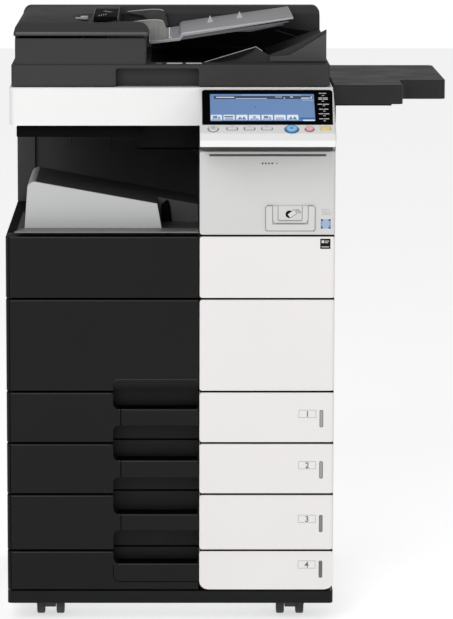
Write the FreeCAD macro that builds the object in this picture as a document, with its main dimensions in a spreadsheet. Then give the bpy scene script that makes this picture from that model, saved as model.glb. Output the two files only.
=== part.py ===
"""Office photocopier: four paper drawers, an exit bay, a scanner, a document feeder,
an operation panel and a work table, on four twin-wheel casters.

The design frame has X = 0 in the middle of the body, Y = 0 on the front covers with +Y
to the rear, and Z = 0 on the floor. Every sub-part is then placed with one common shift,
so that the origin ends up under the middle of the overall box.
"""
import FreeCAD, Part
import Sketcher
import os

V = FreeCAD.Vector
doc = FreeCAD.newDocument("Photocopier")
sheet = doc.addObject("Spreadsheet::Sheet", "Dims")

DIMENSIONS = {
    # body
    "body_width": 615,
    "body_depth": 565,
    "wall": 3,
    "plate": 2,
    "panel_gap": 3.5,
    "front_depth": 44,
    "door_depth": 30,
    "front_corner": 8,
    "edge": 1.5,
    "split_x": 54,
    "panel_corner": 5,
    "panel_low_corner": 16,
    # heights, from the floor up
    "floor_gap": 35,
    "base_height": 25,
    "tray_4_height": 77,
    "tray_3_height": 108,
    "tray_2_height": 98,
    "tray_1_height": 98,
    "lower_door_height": 176,
    "upper_door_height": 119,
    "front_cover_height": 158,
    "bay_height": 205,
    "scanner_height": 72,
    # finger recesses between the drawer fronts
    "grip_left": 107,
    "grip_depth": 40,
    "grip_corner": 10,
    "grip_1": 33,
    "grip_2": 33,
    "grip_3_high": 32,
    "grip_3_low": 38,
    "grip_4_high": 38,
    "grip_4_low": 25,
    "door_pivot": 8,
    "door_pin": 2,
    "ear_radius": 4.5,
    "ear_clearance": 1,
    "ear_slot_height": 20,
    "door_grip_depth": 13,
    "door_grip_height": 20,
    # card reader pad on the front right cover
    "reader_left": 178,
    "reader_right": 269,
    "reader_low": 10,
    "reader_height": 46,
    "reader_frame": 12,
    "reader_proud": 5,
    "reader_sink": 3,
    "reader_seat": 0.2,
    # drawers
    "drawer_side_space": 7.5,
    "drawer_rear_space": 81,
    "drawer_wall": 3,
    "drawer_low_gap": 9,
    "drawer_top_gap": 9,
    "rail_width": 16,
    "rail_height": 14,
    "slide_gap": 1,
    # casters
    "caster_x": 228,
    "caster_front": 55,
    "caster_rear_space": 65,
    "wheel_radius": 25,
    "wheel_width": 15,
    "wheel_space": 22,
    "caster_trail": 16,
    "axle_radius": 4,
    "stem_radius": 7,
    "stem_plate": 4,
    "caster_cover": 6,
    "running_gap": 0.05,
    # exit bay and tray
    "column_width": 36.5,
    "column_depth": 20,
    "tray_front": 60,
    "exit_tray_depth": 255,
    "column_step": 12,
    "exit_slot_front": 120,
    "exit_slot_rear": 440,
    "exit_slot_rise": 100,
    "exit_slot_height": 40,
    "tray_left": 267.5,
    "tray_right": 24.5,
    "tray_foot_left": 274,
    "tray_foot_right": 16,
    "tray_high": 97,
    "tray_low": 53,
    "tray_setback": 107,
    "tray_end": 39,
    "tray_plate": 2,
    "tray_plate_left": 287,
    "tray_plate_front": 9,
    "tray_cap": 14,
    "tray_face": 4,
    # scanner
    "scanner_left": 299,
    "scanner_right": 302,
    "scanner_corner": 14,
    "scanner_wall": 4,
    "scanner_roof": 8,
    "glass_width": 432,
    "glass_depth": 297,
    "glass_thickness": 4,
    "glass_left": 236,
    "glass_front": 100,
    "glass_ledge": 6,
    "glass_gap": 0.5,
    "carriage_width": 34,
    "carriage_height": 30,
    "carriage_ledge": 10,
    "carriage_top_gap": 4,
    "carriage_slot_depth": 12,
    # document feeder
    "feeder_gap": 1.5,
    "feeder_left": 295,
    "feeder_right": 296,
    "feeder_front": 5,
    "feeder_rear": 17,
    "feeder_base_height": 40,
    "feeder_recess_left": 101,
    "feeder_recess_right": 53,
    "feeder_recess_height": 33,
    "feeder_recess_depth": 25,
    "feed_left": 288,
    "feed_right": 44,
    "feed_height": 49,
    "feed_depth": 397,
    "feed_notch": 30,
    "feed_seam": 5,
    "lid_height": 32,
    "lid_entry": 97,
    "lid_rim": 40,
    "lid_lip": 13,
    "lid_slope_x": 28,
    "lid_slope_y": 34,
    "lid_pivot_x": 4,
    "lid_pivot_z": 2,
    "lid_ear": 5,
    "lid_ear_radius": 3,
    "lid_ear_front": 40,
    "lid_ear_rear": 340,
    "small_pin": 1.5,
    "hump_front": 408,
    "hump_depth": 90,
    "hump_height": 82,
    "hump_corner": 14,
    "pad_thickness": 8,
    "hinge_radius": 6,
    "hinge_pin": 2.5,
    "hinge_space": 7,
    "hinge_inset": 60,
    "knuckle_length": 30,
    "knuckle_gap": 0.5,
    "riser_front": 60,
    "riser_wall": 6,
    "riser_sink": 22,
    "riser_left": 62,
    "riser_peak_x": 161,
    "riser_peak": 27,
    "riser_valley_x": 184,
    "riser_valley": 13,
    "riser_bend_x": 240,
    "riser_bend": 35,
    "riser_height": 61,
    # document tray
    "document_front": 85,
    "document_rear": 400,
    "document_left": 40,
    "document_right": 230,
    "document_low": 34,
    "document_rise": 49,
    "document_thickness": 7,
    "document_pivot": 2,
    "document_ear": 4,
    "guide_space": 298,
    "guide_left": 72,
    "guide_right": 7,
    "guide_over": 5,
    "guide_top": 78,
    # operation panel
    "panel_right": 302,
    "panel_front": 137,
    "panel_tilt": 28.1,
    "panel_length": 147,
    "panel_thickness": 24,
    "panel_back_cut": 14,
    "panel_nose": 16,
    "nose_slant": 3,
    "panel_nose_rise": 7,
    "panel_nose_drop": 19,
    "panel_belly": 32,
    "pivot_run": 90,
    "pivot_depth": 36,
    "pivot_pin": 3,
    "pivot_lug": 7,
    "lug_width": 8,
    "lug_inset": 60,
    "bracket_height": 34,
    "screen_left": 73,
    "screen_right": 265,
    "screen_low": 34,
    "screen_high": 139,
    "screen_recess": 0.6,
    "screen_thickness": 4,
    "start_row": 13.5,
    "stop_row": 14,
    "power_row": 14.5,
    "wide_key_row": 16,
    "key_depth": 8,
    "key_proud": 2.5,
    "key_travel": 1.5,
    "key_gap": 0.5,
    "power_x": 78,
    "register_x": 112.5,
    "register_pitch": 31.7,
    "start_x": 221,
    "stop_x": 253.5,
    "reset_x": 283,
    "start_radius": 12,
    "stop_radius": 7.5,
    "power_radius": 8.5,
    "wide_key_width": 18,
    "wide_key_height": 9,
    "wide_key_corner": 3,
    # work table
    "table_reach": 521,
    "table_split": 434,
    "table_thickness": 36,
    "table_front": 40,
    "table_step": 150,
    "table_rear": 500,
    "table_left": 305,
    "table_corner": 12,
    "arm_width": 40,
    "arm_plate": 5,
    "arm_reach": 110,
    "arm_drop": 110,
    "arm_front": 120,
    "arm_rear": 400,
    # inner units
    "inlet_x": 205,
    "inlet_rise": 35,
    "inlet_half_width": 14,
    "inlet_half_height": 11,
    "inlet_gap": 1,
    "inlet_wall": 2,
    "power_half_width": 60,
    "power_height": 62,
    "side_door_front": 90,
    "side_door_rear_space": 65,
    "side_door_low": 20,
    "side_door_high": 10,
    "bearing_depth": 8,
    "bearing_margin": 13,
    "drum_radius": 30,
    "drum_x": 130,
    "drum_front": 75,
    "drum_length": 330,
    "shaft_radius": 5,
    "fuser_left": 70,
    "fuser_right": 290,
    "fuser_front": 90,
    "fuser_rear_space": 95,
    "fuser_height": 70,
    "side_gap": 1.5,
    "side_pin": 1,
    "side_pin_length": 10,
    "bypass_front": 60,
    "bypass_rear_space": 57,
    "bypass_low": 30,
    "bypass_high": 150,
    "toner_radius": 42,
    "toner_x": -90,
    "toner_rear_space": 110,
    "deck_drop": 24,
}

for row, (alias, number) in enumerate(DIMENSIONS.items(), start=1):
    sheet.set("A%d" % row, alias.replace("_", " "))
    sheet.set("B%d" % row, str(number))
    sheet.setAlias("B%d" % row, alias)
doc.recompute()


class Size:
    """A length written as an expression on the spreadsheet's cells."""

    def __init__(self, text):
        self.text = str(text)

    def __str__(self):
        return self.text

    def __add__(self, other):
        return Size("(%s + %s)" % (self, other))

    def __radd__(self, other):
        return Size("(%s + %s)" % (other, self))

    def __sub__(self, other):
        return Size("(%s - %s)" % (self, other))

    def __rsub__(self, other):
        return Size("(%s - %s)" % (other, self))

    def __mul__(self, other):
        return Size("(%s * %s)" % (self, other))

    def __rmul__(self, other):
        return Size("(%s * %s)" % (other, self))

    def __truediv__(self, other):
        return Size("(%s / %s)" % (self, other))

    def __neg__(self):
        return Size("(0 - %s)" % self)


class Sheet:
    """Gives each cell of the spreadsheet as a Size, by its alias."""

    def __getattr__(self, alias):
        if alias not in DIMENSIONS:
            raise AttributeError(alias)
        return Size("Dims." + alias)


def number(size):
    """The present value of a size, in millimetres."""
    result = sheet.evalExpression(str(size))
    return float(getattr(result, "Value", result))


D = Sheet()
ZERO = Size("0")
HALF = D.body_width / 2

# levels, from the floor up
Z_BASE = D.floor_gap
Z_TRAY_4 = Z_BASE + D.base_height
Z_TRAY_3 = Z_TRAY_4 + D.tray_4_height
Z_TRAY_2 = Z_TRAY_3 + D.tray_3_height
Z_TRAY_1 = Z_TRAY_2 + D.tray_2_height
Z_LOWER_DOOR = Z_TRAY_1 + D.tray_1_height
Z_UPPER_DOOR = Z_LOWER_DOOR + D.lower_door_height
Z_BAY = Z_UPPER_DOOR + D.upper_door_height
Z_COVER_TOP = Z_BAY + D.front_cover_height
Z_SCANNER = Z_BAY + D.bay_height
Z_GLASS = Z_SCANNER + D.scanner_height
Z_FEEDER = Z_GLASS + D.feeder_gap
Z_FEED = Z_FEEDER + D.feeder_base_height
Z_LID = Z_FEED + D.feed_height + D.feed_seam
Z_TOP = Z_LID + D.lid_height

# the origin is under the middle of the overall box
SHIFT_X = (HALF - D.table_reach) / 2
NOSE_REACH = Size("((Dims.panel_nose - Dims.nose_slant) * cos(Dims.panel_tilt)"
                  " - Dims.panel_nose_rise * sin(Dims.panel_tilt))")
SHIFT_Y = (D.panel_front + NOSE_REACH - D.body_depth) / 2

parts = []
pockets = []


def bind(thing, prop, size):
    thing.setExpression(prop, str(size))


def place(thing):
    """Puts a finished sub-part where the common origin wants it."""
    bind(thing, "Placement.Base.x", SHIFT_X)
    bind(thing, "Placement.Base.y", SHIFT_Y)
    parts.append(thing)
    return thing


def rectangle(a_low, a_high, b_low, b_high):
    return [(a_low, b_low), (a_high, b_low), (a_high, b_high), (a_low, b_high)]


class Piece:
    """A PartDesign body with pads, pockets and fillets named by the planes they lie on.

    Outlines on XY are given as (x, y), on XZ as (x, z) and on YZ as (y, z).
    """

    def __init__(self, label, own_part=True):
        self.body = doc.addObject("PartDesign::Body", label)
        self.body.Label = label
        self.label = label
        if own_part:
            place(self.body)

    def _attach(self, plane, level, shift=(ZERO, ZERO)):
        count = len(self.body.Group)
        sketch = self.body.newObject("Sketcher::SketchObject", "%s_sketch_%d" % (self.label, count))
        for origin_plane in self.body.Origin.OriginFeatures:
            if origin_plane.Role == plane + "_Plane":
                sketch.AttachmentSupport = [(origin_plane, "")]
        sketch.MapMode = "FlatFace"
        bind(sketch, "AttachmentOffset.Base.x", shift[0])
        bind(sketch, "AttachmentOffset.Base.y", shift[1])
        # the XZ plane looks along -Y, so its level counts the other way
        bind(sketch, "AttachmentOffset.Base.z", -level if plane == "XZ" else level)
        return sketch

    def _polygon(self, sketch, outline):
        points = [V(number(a), number(b), 0) for a, b in outline]
        total = len(points)
        first = sketch.GeometryCount
        for i, point in enumerate(points):
            sketch.addGeometry(Part.LineSegment(point, points[(i + 1) % total]), False)
        for i in range(total):
            after = first + (i + 1) % total
            sketch.addConstraint(Sketcher.Constraint("Coincident", first + i, 2, after, 1))
        for i, sizes in enumerate(outline):
            for kind, size in zip(("DistanceX", "DistanceY"), sizes):
                held = Sketcher.Constraint(kind, -1, 1, first + i, 1, number(size))
                index = sketch.addConstraint(held)
                bind(sketch, "Constraints[%d]" % index, size)

    def _circle(self, sketch, centre, radius):
        place_at = V(number(centre[0]), number(centre[1]), 0)
        index = sketch.addGeometry(Part.Circle(place_at, V(0, 0, 1), number(radius)), False)
        for kind, size in zip(("DistanceX", "DistanceY"), centre):
            held = sketch.addConstraint(Sketcher.Constraint(kind, -1, 1, index, 3, number(size)))
            bind(sketch, "Constraints[%d]" % held, size)
        held = sketch.addConstraint(Sketcher.Constraint("Radius", index, number(radius)))
        bind(sketch, "Constraints[%d]" % held, radius)

    def _draw(self, sketch, outline, circles):
        if outline:
            self._polygon(sketch, outline)
        for centre, radius in circles:
            self._circle(sketch, centre, radius)

    def pad(self, plane, low, high, outline=None, circles=()):
        sketch = self._attach(plane, high if plane == "XZ" else low)
        self._draw(sketch, outline, circles)
        pad = self.body.newObject("PartDesign::Pad", self.label + "_pad")
        pad.Profile = sketch
        bind(pad, "Length", high - low)
        sketch.Visibility = False
        return self

    def pocket(self, plane, low, high, outline=None, circles=()):
        sketch = self._attach(plane, low if plane == "XZ" else high)
        self._draw(sketch, outline, circles)
        pocket = self.body.newObject("PartDesign::Pocket", self.label + "_pocket")
        pocket.Profile = sketch
        bind(pocket, "Length", high - low)
        pockets.append(pocket)
        return self

    def turn(self, plane, level, shift, axis, outline):
        """A full turn of an outline about the sketch's own horizontal or vertical axis."""
        sketch = self._attach(plane, level, shift)
        self._polygon(sketch, outline)
        solid = self.body.newObject("PartDesign::Revolution", self.label + "_turn")
        solid.Profile = sketch
        solid.ReferenceAxis = (sketch, [axis])
        solid.Angle = 360
        return self

    def _dress(self, kind, radius, where):
        doc.recompute()
        base = self.body.Tip
        names = ["Edge%d" % (i + 1) for i, edge in enumerate(base.Shape.Edges) if where(edge)]
        if not names:
            raise RuntimeError("%s: no edge to dress" % self.label)
        dressed = self.body.newObject("PartDesign::" + kind, self.label + "_" + kind.lower())
        dressed.Base = (base, names)
        bind(dressed, "Radius" if kind == "Fillet" else "Size", radius)
        return self

    def fillet(self, radius, where):
        return self._dress("Fillet", radius, where)


def runs_along(edge, axis):
    """True for a straight edge along X, Y or Z."""
    if edge.Curve.TypeId != "Part::GeomLine":
        return False
    return abs(getattr(edge.tangentAt(edge.FirstParameter), axis)) > 0.999


def lies_at(edge, **levels):
    """True for an edge whose whole length has the given x, y or z."""
    box = edge.BoundBox
    for axis, size in levels.items():
        level = number(size)
        low = getattr(box, axis.upper() + "Min")
        high = getattr(box, axis.upper() + "Max")
        if abs(low - level) > 0.01 or abs(high - level) > 0.01:
            return False
    return True


def upright(x, y):
    return lambda edge: runs_along(edge, "z") and lies_at(edge, x=x, y=y)


def front_rim(y, *rounded_x):
    """The sharp edges round a front face, leaving out the upright edges at rounded_x."""
    def chosen(edge):
        if not lies_at(edge, y=y):
            return False
        return not any(lies_at(edge, x=x) for x in rounded_x)
    return chosen


def box(label, x, y, z):
    """A Part box between pairs of sizes, for use in groups and booleans."""
    solid = doc.addObject("Part::Box", label)
    for prop, axis, span in (("Length", "x", x), ("Width", "y", y), ("Height", "z", z)):
        bind(solid, prop, span[1] - span[0])
        bind(solid, "Placement.Base." + axis, span[0])
    return solid


AXIS_TURN = {
    "x": FreeCAD.Rotation(V(0, 1, 0), 90),
    "y": FreeCAD.Rotation(V(1, 0, 0), -90),
    "z": FreeCAD.Rotation(),
}


def rod(label, axis, at, start, length, radius):
    """A Part cylinder along an axis. The two sizes in at are its place across that axis."""
    solid = doc.addObject("Part::Cylinder", label)
    solid.Placement = FreeCAD.Placement(V(), AXIS_TURN[axis])
    across = [name for name in "xyz" if name != axis]
    bind(solid, "Radius", radius)
    bind(solid, "Height", length)
    bind(solid, "Placement.Base." + axis, start)
    for name, size in zip(across, at):
        bind(solid, "Placement.Base." + name, size)
    return solid


def fuse(label, solids):
    joined = doc.addObject("Part::MultiFuse", label)
    joined.Shapes = solids
    joined.Refine = True
    return joined


def cut(label, base, tool):
    result = doc.addObject("Part::Cut", label)
    result.Base = base
    result.Tool = tool
    return result


def group(label, solids):
    """Separate solids kept in one sub-part."""
    together = doc.addObject("Part::Compound", label)
    together.Links = solids
    return together


def as_part(thing, label):
    thing.Label = label
    return place(thing)


# ---------------------------------------------------------------- frame and covers
INNER = HALF - D.wall - D.slide_gap
FRAME_FRONT = D.front_depth + D.slide_gap
FRAME_REAR = D.body_depth - D.wall - D.slide_gap
RAIL_X = INNER - D.plate - D.rail_width
DRAWER_LENGTH = D.body_depth - D.front_depth - D.drawer_rear_space
SIDE_DOOR_REAR = D.body_depth - D.side_door_rear_space
SEAM = D.panel_gap / 2


def shelf(label, level):
    """A steel plate across the frame, centred on a seam between two fronts."""
    return box(label, (-(INNER - D.plate), INNER - D.plate), (FRAME_FRONT, FRAME_REAR - D.plate),
               (level - D.plate / 2, level + D.plate / 2))


def rails(label, low):
    """The two fixed rails that a drawer runs between, standing on the shelf below it."""
    made = []
    for side, span in (("left", (-(INNER - D.plate), -RAIL_X)), ("right", (RAIL_X, INNER - D.plate))):
        made.append(box("%s_%s" % (label, side), span, (FRAME_FRONT, FRAME_REAR - D.plate),
                        (low + D.plate / 2, low + D.plate / 2 + D.rail_height)))
    return made


def frame_walls(label, low, high):
    """The side and rear plates of one storey of the frame."""
    left = box(label + "_left", (-INNER, D.plate - INNER), (FRAME_FRONT, FRAME_REAR), (low, high))
    right = box(label + "_right", (INNER - D.plate, INNER), (FRAME_FRONT, FRAME_REAR), (low, high))
    rear = box(label + "_rear", (D.plate - INNER, INNER - D.plate),
               (FRAME_REAR - D.plate, FRAME_REAR), (low, high))
    return [left, right, rear]


def door_ear(label, x, door_low):
    """An ear of the frame's side plate, with the bore that a door's peg turns in."""
    at = (D.door_pivot, door_low + D.door_pivot)
    arm = box(label + "_arm", x, (at[0], FRAME_FRONT), (at[1] - D.ear_radius, at[1] + D.ear_radius))
    end = rod(label + "_end", "x", at, x[0], x[1] - x[0], D.ear_radius)
    bore = rod(label + "_bore", "x", at, x[0] - 1, x[1] - x[0] + 2, D.door_pin + D.running_gap)
    return cut(label, fuse(label + "_solid", [arm, end]), bore)


INLET_Z = Z_TRAY_4 + D.inlet_rise


def inlet_outline(margin):
    return ((D.inlet_x - D.inlet_half_width - margin, D.inlet_x + D.inlet_half_width + margin),
            (INLET_Z - D.inlet_half_height - margin, INLET_Z + D.inlet_half_height + margin))


def make_cabinet_frame():
    floor = shelf("cabinet_floor", Z_TRAY_4)
    middle = shelf("cabinet_middle", Z_TRAY_3)
    low = Z_TRAY_4 - D.plate / 2
    left, right, rear = frame_walls("cabinet_wall", low, Z_TRAY_2 - D.plate)
    across, up = inlet_outline(D.inlet_gap)
    hole = box("inlet_hole", across, (FRAME_REAR - D.plate - 1, FRAME_REAR + 1), up)
    solids = [left, right, cut("cabinet_wall_rear_cut", rear, hole)]
    solids += [floor, middle] + rails("rail_4", Z_TRAY_4) + rails("rail_3", Z_TRAY_3)
    as_part(group("cabinet_frame_group", solids), "cabinet_frame")


Z_DECK = Z_UPPER_DOOR - D.deck_drop
DRUM_Z = Z_DECK + D.drum_radius + D.bearing_margin


def bearing(label, front):
    """An upright plate with a bore that carries one end of the drum's shaft."""
    reach = D.bearing_margin
    plate = box(label + "_plate", (D.drum_x - reach, D.drum_x + reach), (front, front + D.bearing_depth),
                (Z_DECK + D.plate / 2, DRUM_Z + reach))
    bore = rod(label + "_bore", "y", (D.drum_x, DRUM_Z), front - 1, D.bearing_depth + 2,
               D.shaft_radius + D.running_gap)
    return cut(label, plate, bore)


def make_main_frame():
    low = Z_TRAY_2 - D.plate / 2
    plate_low = Z_BAY - D.wall - D.plate
    solids = frame_walls("main_wall", low, plate_low)
    solids.append(box("bay_plate", (-INNER, INNER), (FRAME_FRONT, FRAME_REAR),
                      (plate_low, plate_low + D.plate)))
    solids += [shelf("main_floor", Z_TRAY_2), shelf("main_middle", Z_TRAY_1)]
    solids += [shelf("main_top", Z_LOWER_DOOR + D.plate), shelf("deck", Z_DECK)]
    solids += rails("rail_2", Z_TRAY_2) + rails("rail_1", Z_TRAY_1)
    solids.append(bearing("front_bearing", D.drum_front - D.bearing_depth - D.slide_gap))
    solids.append(bearing("rear_bearing", D.drum_front + D.drum_length + D.slide_gap))
    for name, door_low in (("lower", Z_LOWER_DOOR + SEAM), ("upper", Z_UPPER_DOOR + SEAM)):
        solids.append(door_ear(name + "_ear_left", (-INNER, D.plate - INNER), door_low))
        solids.append(door_ear(name + "_ear_right", (INNER - D.plate, INNER), door_low))
    # the storey beside the exit bay, which carries the scanner
    solids.append(box("tower_right", (INNER - D.plate, INNER), (FRAME_FRONT, FRAME_REAR),
                      (Z_BAY, Z_SCANNER - D.plate)))
    solids.append(box("tower_rear", (D.split_x + D.wall + D.slide_gap, INNER - D.plate),
                      (FRAME_REAR - D.plate, FRAME_REAR), (Z_BAY, Z_SCANNER - D.plate)))
    solids.append(box("scanner_plate", (-(INNER - D.wall), INNER), (D.front_depth, FRAME_REAR),
                      (Z_SCANNER - D.plate, Z_SCANNER)))
    as_part(group("main_frame_group", solids), "main_frame")


def make_base_cover():
    piece = Piece("base_cover")
    top = Z_TRAY_4 - SEAM
    inside = HALF - D.wall
    piece.pad("XY", Z_BASE, top, rectangle(-HALF, HALF, ZERO, D.body_depth))
    piece.fillet(D.front_corner, lambda e: upright(-HALF, ZERO)(e) or upright(HALF, ZERO)(e))
    piece.fillet(D.edge, lambda e: lies_at(e, z=Z_BASE))
    piece.pocket("XY", Z_BASE - 1, top + 1,
                 rectangle(-inside, inside, D.wall * 2, D.body_depth - D.wall))


def make_side_covers():
    rear = D.body_depth - D.wall - D.slide_gap / 2
    left = Piece("left_cover")
    front = FRAME_FRONT - D.slide_gap / 2
    left.pad("YZ", -HALF, D.wall - HALF, rectangle(front, rear, Z_TRAY_4, Z_BAY - D.edge))
    left.fillet(D.edge, lambda e: runs_along(e, "y") and lies_at(e, x=-HALF, z=Z_BAY - D.edge))
    right = Piece("right_cover")
    right.pad("YZ", HALF - D.wall, HALF, rectangle(front, rear, Z_TRAY_4, Z_SCANNER - D.edge))
    right.pocket("YZ", HALF - D.wall - 1, HALF + 1,
                 rectangle(D.side_door_front, SIDE_DOOR_REAR,
                           Z_TRAY_1 + D.side_door_low, Z_BAY - D.side_door_high))
    bore_for_pin(right, (D.side_door_front + D.side_gap, SIDE_DOOR_REAR - D.side_gap),
                 Z_TRAY_1 + D.side_door_low + D.side_gap)


def make_rear_cover():
    rear = Piece("rear_cover")
    front = D.body_depth - D.wall
    rear.pad("XZ", front, D.body_depth, rectangle(-HALF, HALF, Z_TRAY_4, Z_SCANNER - D.edge))
    rear.fillet(D.edge, lambda e: runs_along(e, "z") and lies_at(e, y=D.body_depth))
    across, up = inlet_outline(D.inlet_gap)
    rear.pocket("XZ", front - 1, D.body_depth + 1, rectangle(*across, *up))


def make_power_unit():
    unit = Piece("power_unit")
    rear = FRAME_REAR - D.plate
    low = Z_TRAY_4 + D.plate / 2
    across, up = inlet_outline(ZERO)
    unit.pad("XZ", D.front_depth + DRAWER_LENGTH + D.slide_gap * 4, rear,
             rectangle(D.inlet_x - D.power_half_width, D.inlet_x + D.power_half_width,
                       low, low + D.power_height))
    unit.pad("XZ", rear, D.body_depth, rectangle(*across, *up))
    inside_across, inside_up = inlet_outline(-D.inlet_wall)
    unit.pocket("XZ", rear + D.inlet_wall, D.body_depth + 1, rectangle(*inside_across, *inside_up))


# ---------------------------------------------------------------- casters
STEM_Z = Z_TRAY_4 - D.plate / 2
AXLE_Z = D.wheel_radius
FORK_HALF = D.wheel_space / 2


def make_caster(place_name, x, y):
    """A twin-wheel caster. The fork turns about its stem and both wheels turn on one axle."""
    axle_y = y + D.caster_trail
    hub = D.axle_radius * 2
    plate_low = STEM_Z - D.stem_plate
    plate = rod(place_name + "_plate", "z", (x, y), plate_low, D.stem_plate, D.stem_radius * 2)
    stem = rod(place_name + "_stem", "z", (x, y), AXLE_Z + hub, plate_low - AXLE_Z - hub, D.stem_radius)
    half = FORK_HALF - D.slide_gap
    body = box(place_name + "_body", (x - half, x + half), (y - D.stem_radius, axle_y + hub),
               (AXLE_Z - hub, AXLE_Z + hub + D.caster_cover))
    axle = rod(place_name + "_axle", "x", (axle_y, AXLE_Z), x - FORK_HALF - D.wheel_width,
               D.wheel_space + D.wheel_width * 2, D.axle_radius)
    as_part(fuse(place_name + "_fork_group", [plate, stem, body, axle]), "caster_fork_" + place_name)
    wheels = []
    for side, start in (("left", x - FORK_HALF - D.wheel_width), ("right", x + FORK_HALF)):
        disc = rod("%s_%s_disc" % (place_name, side), "x", (axle_y, AXLE_Z), start, D.wheel_width,
                   D.wheel_radius)
        rounded = doc.addObject("Part::Fillet", "%s_%s_tyre" % (place_name, side))
        rounded.Base = disc
        doc.recompute()
        tread = number(D.wheel_radius / 8)
        rounded.Edges = [(i + 1, tread, tread) for i, edge in enumerate(disc.Shape.Edges)
                         if edge.Curve.TypeId == "Part::GeomCircle"]
        bore = rod("%s_%s_bore" % (place_name, side), "x", (axle_y, AXLE_Z), start - 1,
                   D.wheel_width + 2, D.axle_radius + D.running_gap)
        wheels.append(cut("%s_%s_wheel" % (place_name, side), rounded, bore))
    as_part(group(place_name + "_wheel_group", wheels), "caster_wheels_" + place_name)


def make_casters():
    for side, x in (("left", -D.caster_x), ("right", D.caster_x)):
        for end, y in (("front", D.caster_front), ("rear", D.body_depth - D.caster_rear_space)):
            make_caster("%s_%s" % (end, side), x, y)


# ---------------------------------------------------------------- drawers and fronts
BLACK_X = (-HALF, D.split_x - D.edge / 2)
WHITE_X = (D.split_x + D.edge / 2, HALF)
GRIP_X = (-D.grip_left, D.split_x + 1)


def hollow_back(piece, x, z, depth):
    piece.pocket("XZ", D.wall, depth + 1, rectangle(x[0] + D.wall, x[1] - D.wall,
                                                    z[0] + D.wall, z[1] - D.wall))


def make_white_panel(label, z, depth, low_corner=D.panel_corner):
    panel = Piece(label)
    panel.pad("XZ", ZERO, depth, rectangle(*WHITE_X, *z))
    panel.fillet(D.front_corner, upright(WHITE_X[1], ZERO))
    for level, radius in ((z[0], low_corner), (z[1], D.panel_corner)):
        panel.fillet(radius, lambda e: runs_along(e, "y") and lies_at(e, x=WHITE_X[0], z=level))
    panel.fillet(D.edge, front_rim(ZERO, WHITE_X[1] - D.front_corner))
    hollow_back(panel, WHITE_X, z, depth)
    return panel


def make_black_front(label, z, depth, recesses=(), own_part=True):
    """A black front. Each recess is a (low, high, depth) finger space cut into its face."""
    front = Piece(label, own_part)
    front.pad("XZ", ZERO, depth, rectangle(*BLACK_X, *z))
    front.fillet(D.front_corner, upright(BLACK_X[0], ZERO))
    for low, high, inner in recesses:
        front.pocket("XZ", Size("-1"), D.grip_depth, rectangle(*GRIP_X, low, high))
        front.fillet(D.grip_corner, lambda e: runs_along(e, "y") and lies_at(e, x=GRIP_X[0], z=inner))
    front.fillet(D.edge, front_rim(ZERO, BLACK_X[0] + D.front_corner))
    return front


def make_drawer(index, low, high, grip_low, grip_high):
    """A paper drawer: the tray and its black front, with a white panel as its own piece."""
    z = (low + SEAM, high - SEAM)
    depth = D.front_depth
    recesses = [(high - grip_high, high, high - grip_high)]
    if grip_low is not None:
        recesses.append((low, low + grip_low, low + grip_low))
    front = make_black_front("drawer_front_%d" % index, z, depth, recesses, own_part=False)
    hollow_back(front, (BLACK_X[0], GRIP_X[0]), z, depth)
    half = RAIL_X - D.drawer_side_space
    tray_low = low + D.drawer_low_gap
    tray_high = high - D.drawer_top_gap
    tray = Piece("drawer_tray_%d" % index, own_part=False)
    tray.pad("XY", tray_low, tray_high, rectangle(-half, half, depth, depth + DRAWER_LENGTH))
    tray.pocket("XY", tray_low + D.drawer_wall, tray_high + 1,
                rectangle(D.drawer_wall - half, half - D.drawer_wall,
                          depth + D.drawer_wall, depth + DRAWER_LENGTH - D.drawer_wall))
    as_part(group("drawer_group_%d" % index, [front.body, tray.body]), "drawer_%d" % index)
    low_corner = D.panel_corner if grip_low is not None else D.panel_low_corner
    make_white_panel("drawer_panel_%d" % index, z, depth, low_corner)


def make_drawers():
    make_drawer(1, Z_TRAY_1, Z_LOWER_DOOR, D.grip_2, D.grip_1)
    make_drawer(2, Z_TRAY_2, Z_TRAY_1, D.grip_3_high, D.grip_2)
    make_drawer(3, Z_TRAY_3, Z_TRAY_2, D.grip_4_high, D.grip_3_low)
    make_drawer(4, Z_TRAY_4, Z_TRAY_3, None, D.grip_4_low)


def add_peg(piece, side, z, depth):
    """A peg on a door's side wall and the slot that the frame's ear swings in.

    The side is -1 for the left wall and 1 for the right one.
    """
    wall = HALF - D.wall
    inner = INNER - D.plate - D.ear_clearance
    span = (-wall, -inner) if side < 0 else (inner, wall)
    piece.pocket("YZ", *span, rectangle(D.wall, depth + 1, z[0] - 1, z[0] + D.ear_slot_height))
    piece.pad("YZ", *span, circles=[((D.door_pivot, z[0] + D.door_pivot), D.door_pin)])


def make_doors():
    """Two front doors hinged at their lower edges, each with its white panel."""
    depth = D.door_depth
    z = (Z_LOWER_DOOR + SEAM, Z_UPPER_DOOR - SEAM)
    lower = make_black_front("lower_door", z, depth)
    lower.pocket("YZ", GRIP_X[0], GRIP_X[1], [(Size("-1"), z[0] - 1), (D.door_grip_depth, z[0] - 1),
                                              (ZERO, Z_LOWER_DOOR + D.door_grip_height),
                                              (Size("-1"), Z_LOWER_DOOR + D.door_grip_height)])
    rim_z = (z[0] + D.door_grip_height, z[1])
    hollow_back_from(lower, D.door_grip_depth + D.wall, rim_z, depth)
    add_peg(lower, -1, z, depth)
    add_peg(make_white_panel("lower_door_panel", z, depth), 1, z, depth)
    z = (Z_UPPER_DOOR + SEAM, Z_BAY - SEAM)
    upper = make_black_front("upper_door", z, depth)
    hollow_back_from(upper, D.wall, z, depth)
    add_peg(upper, -1, z, depth)
    add_peg(make_white_panel("upper_door_panel", z, depth), 1, z, depth)


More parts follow.
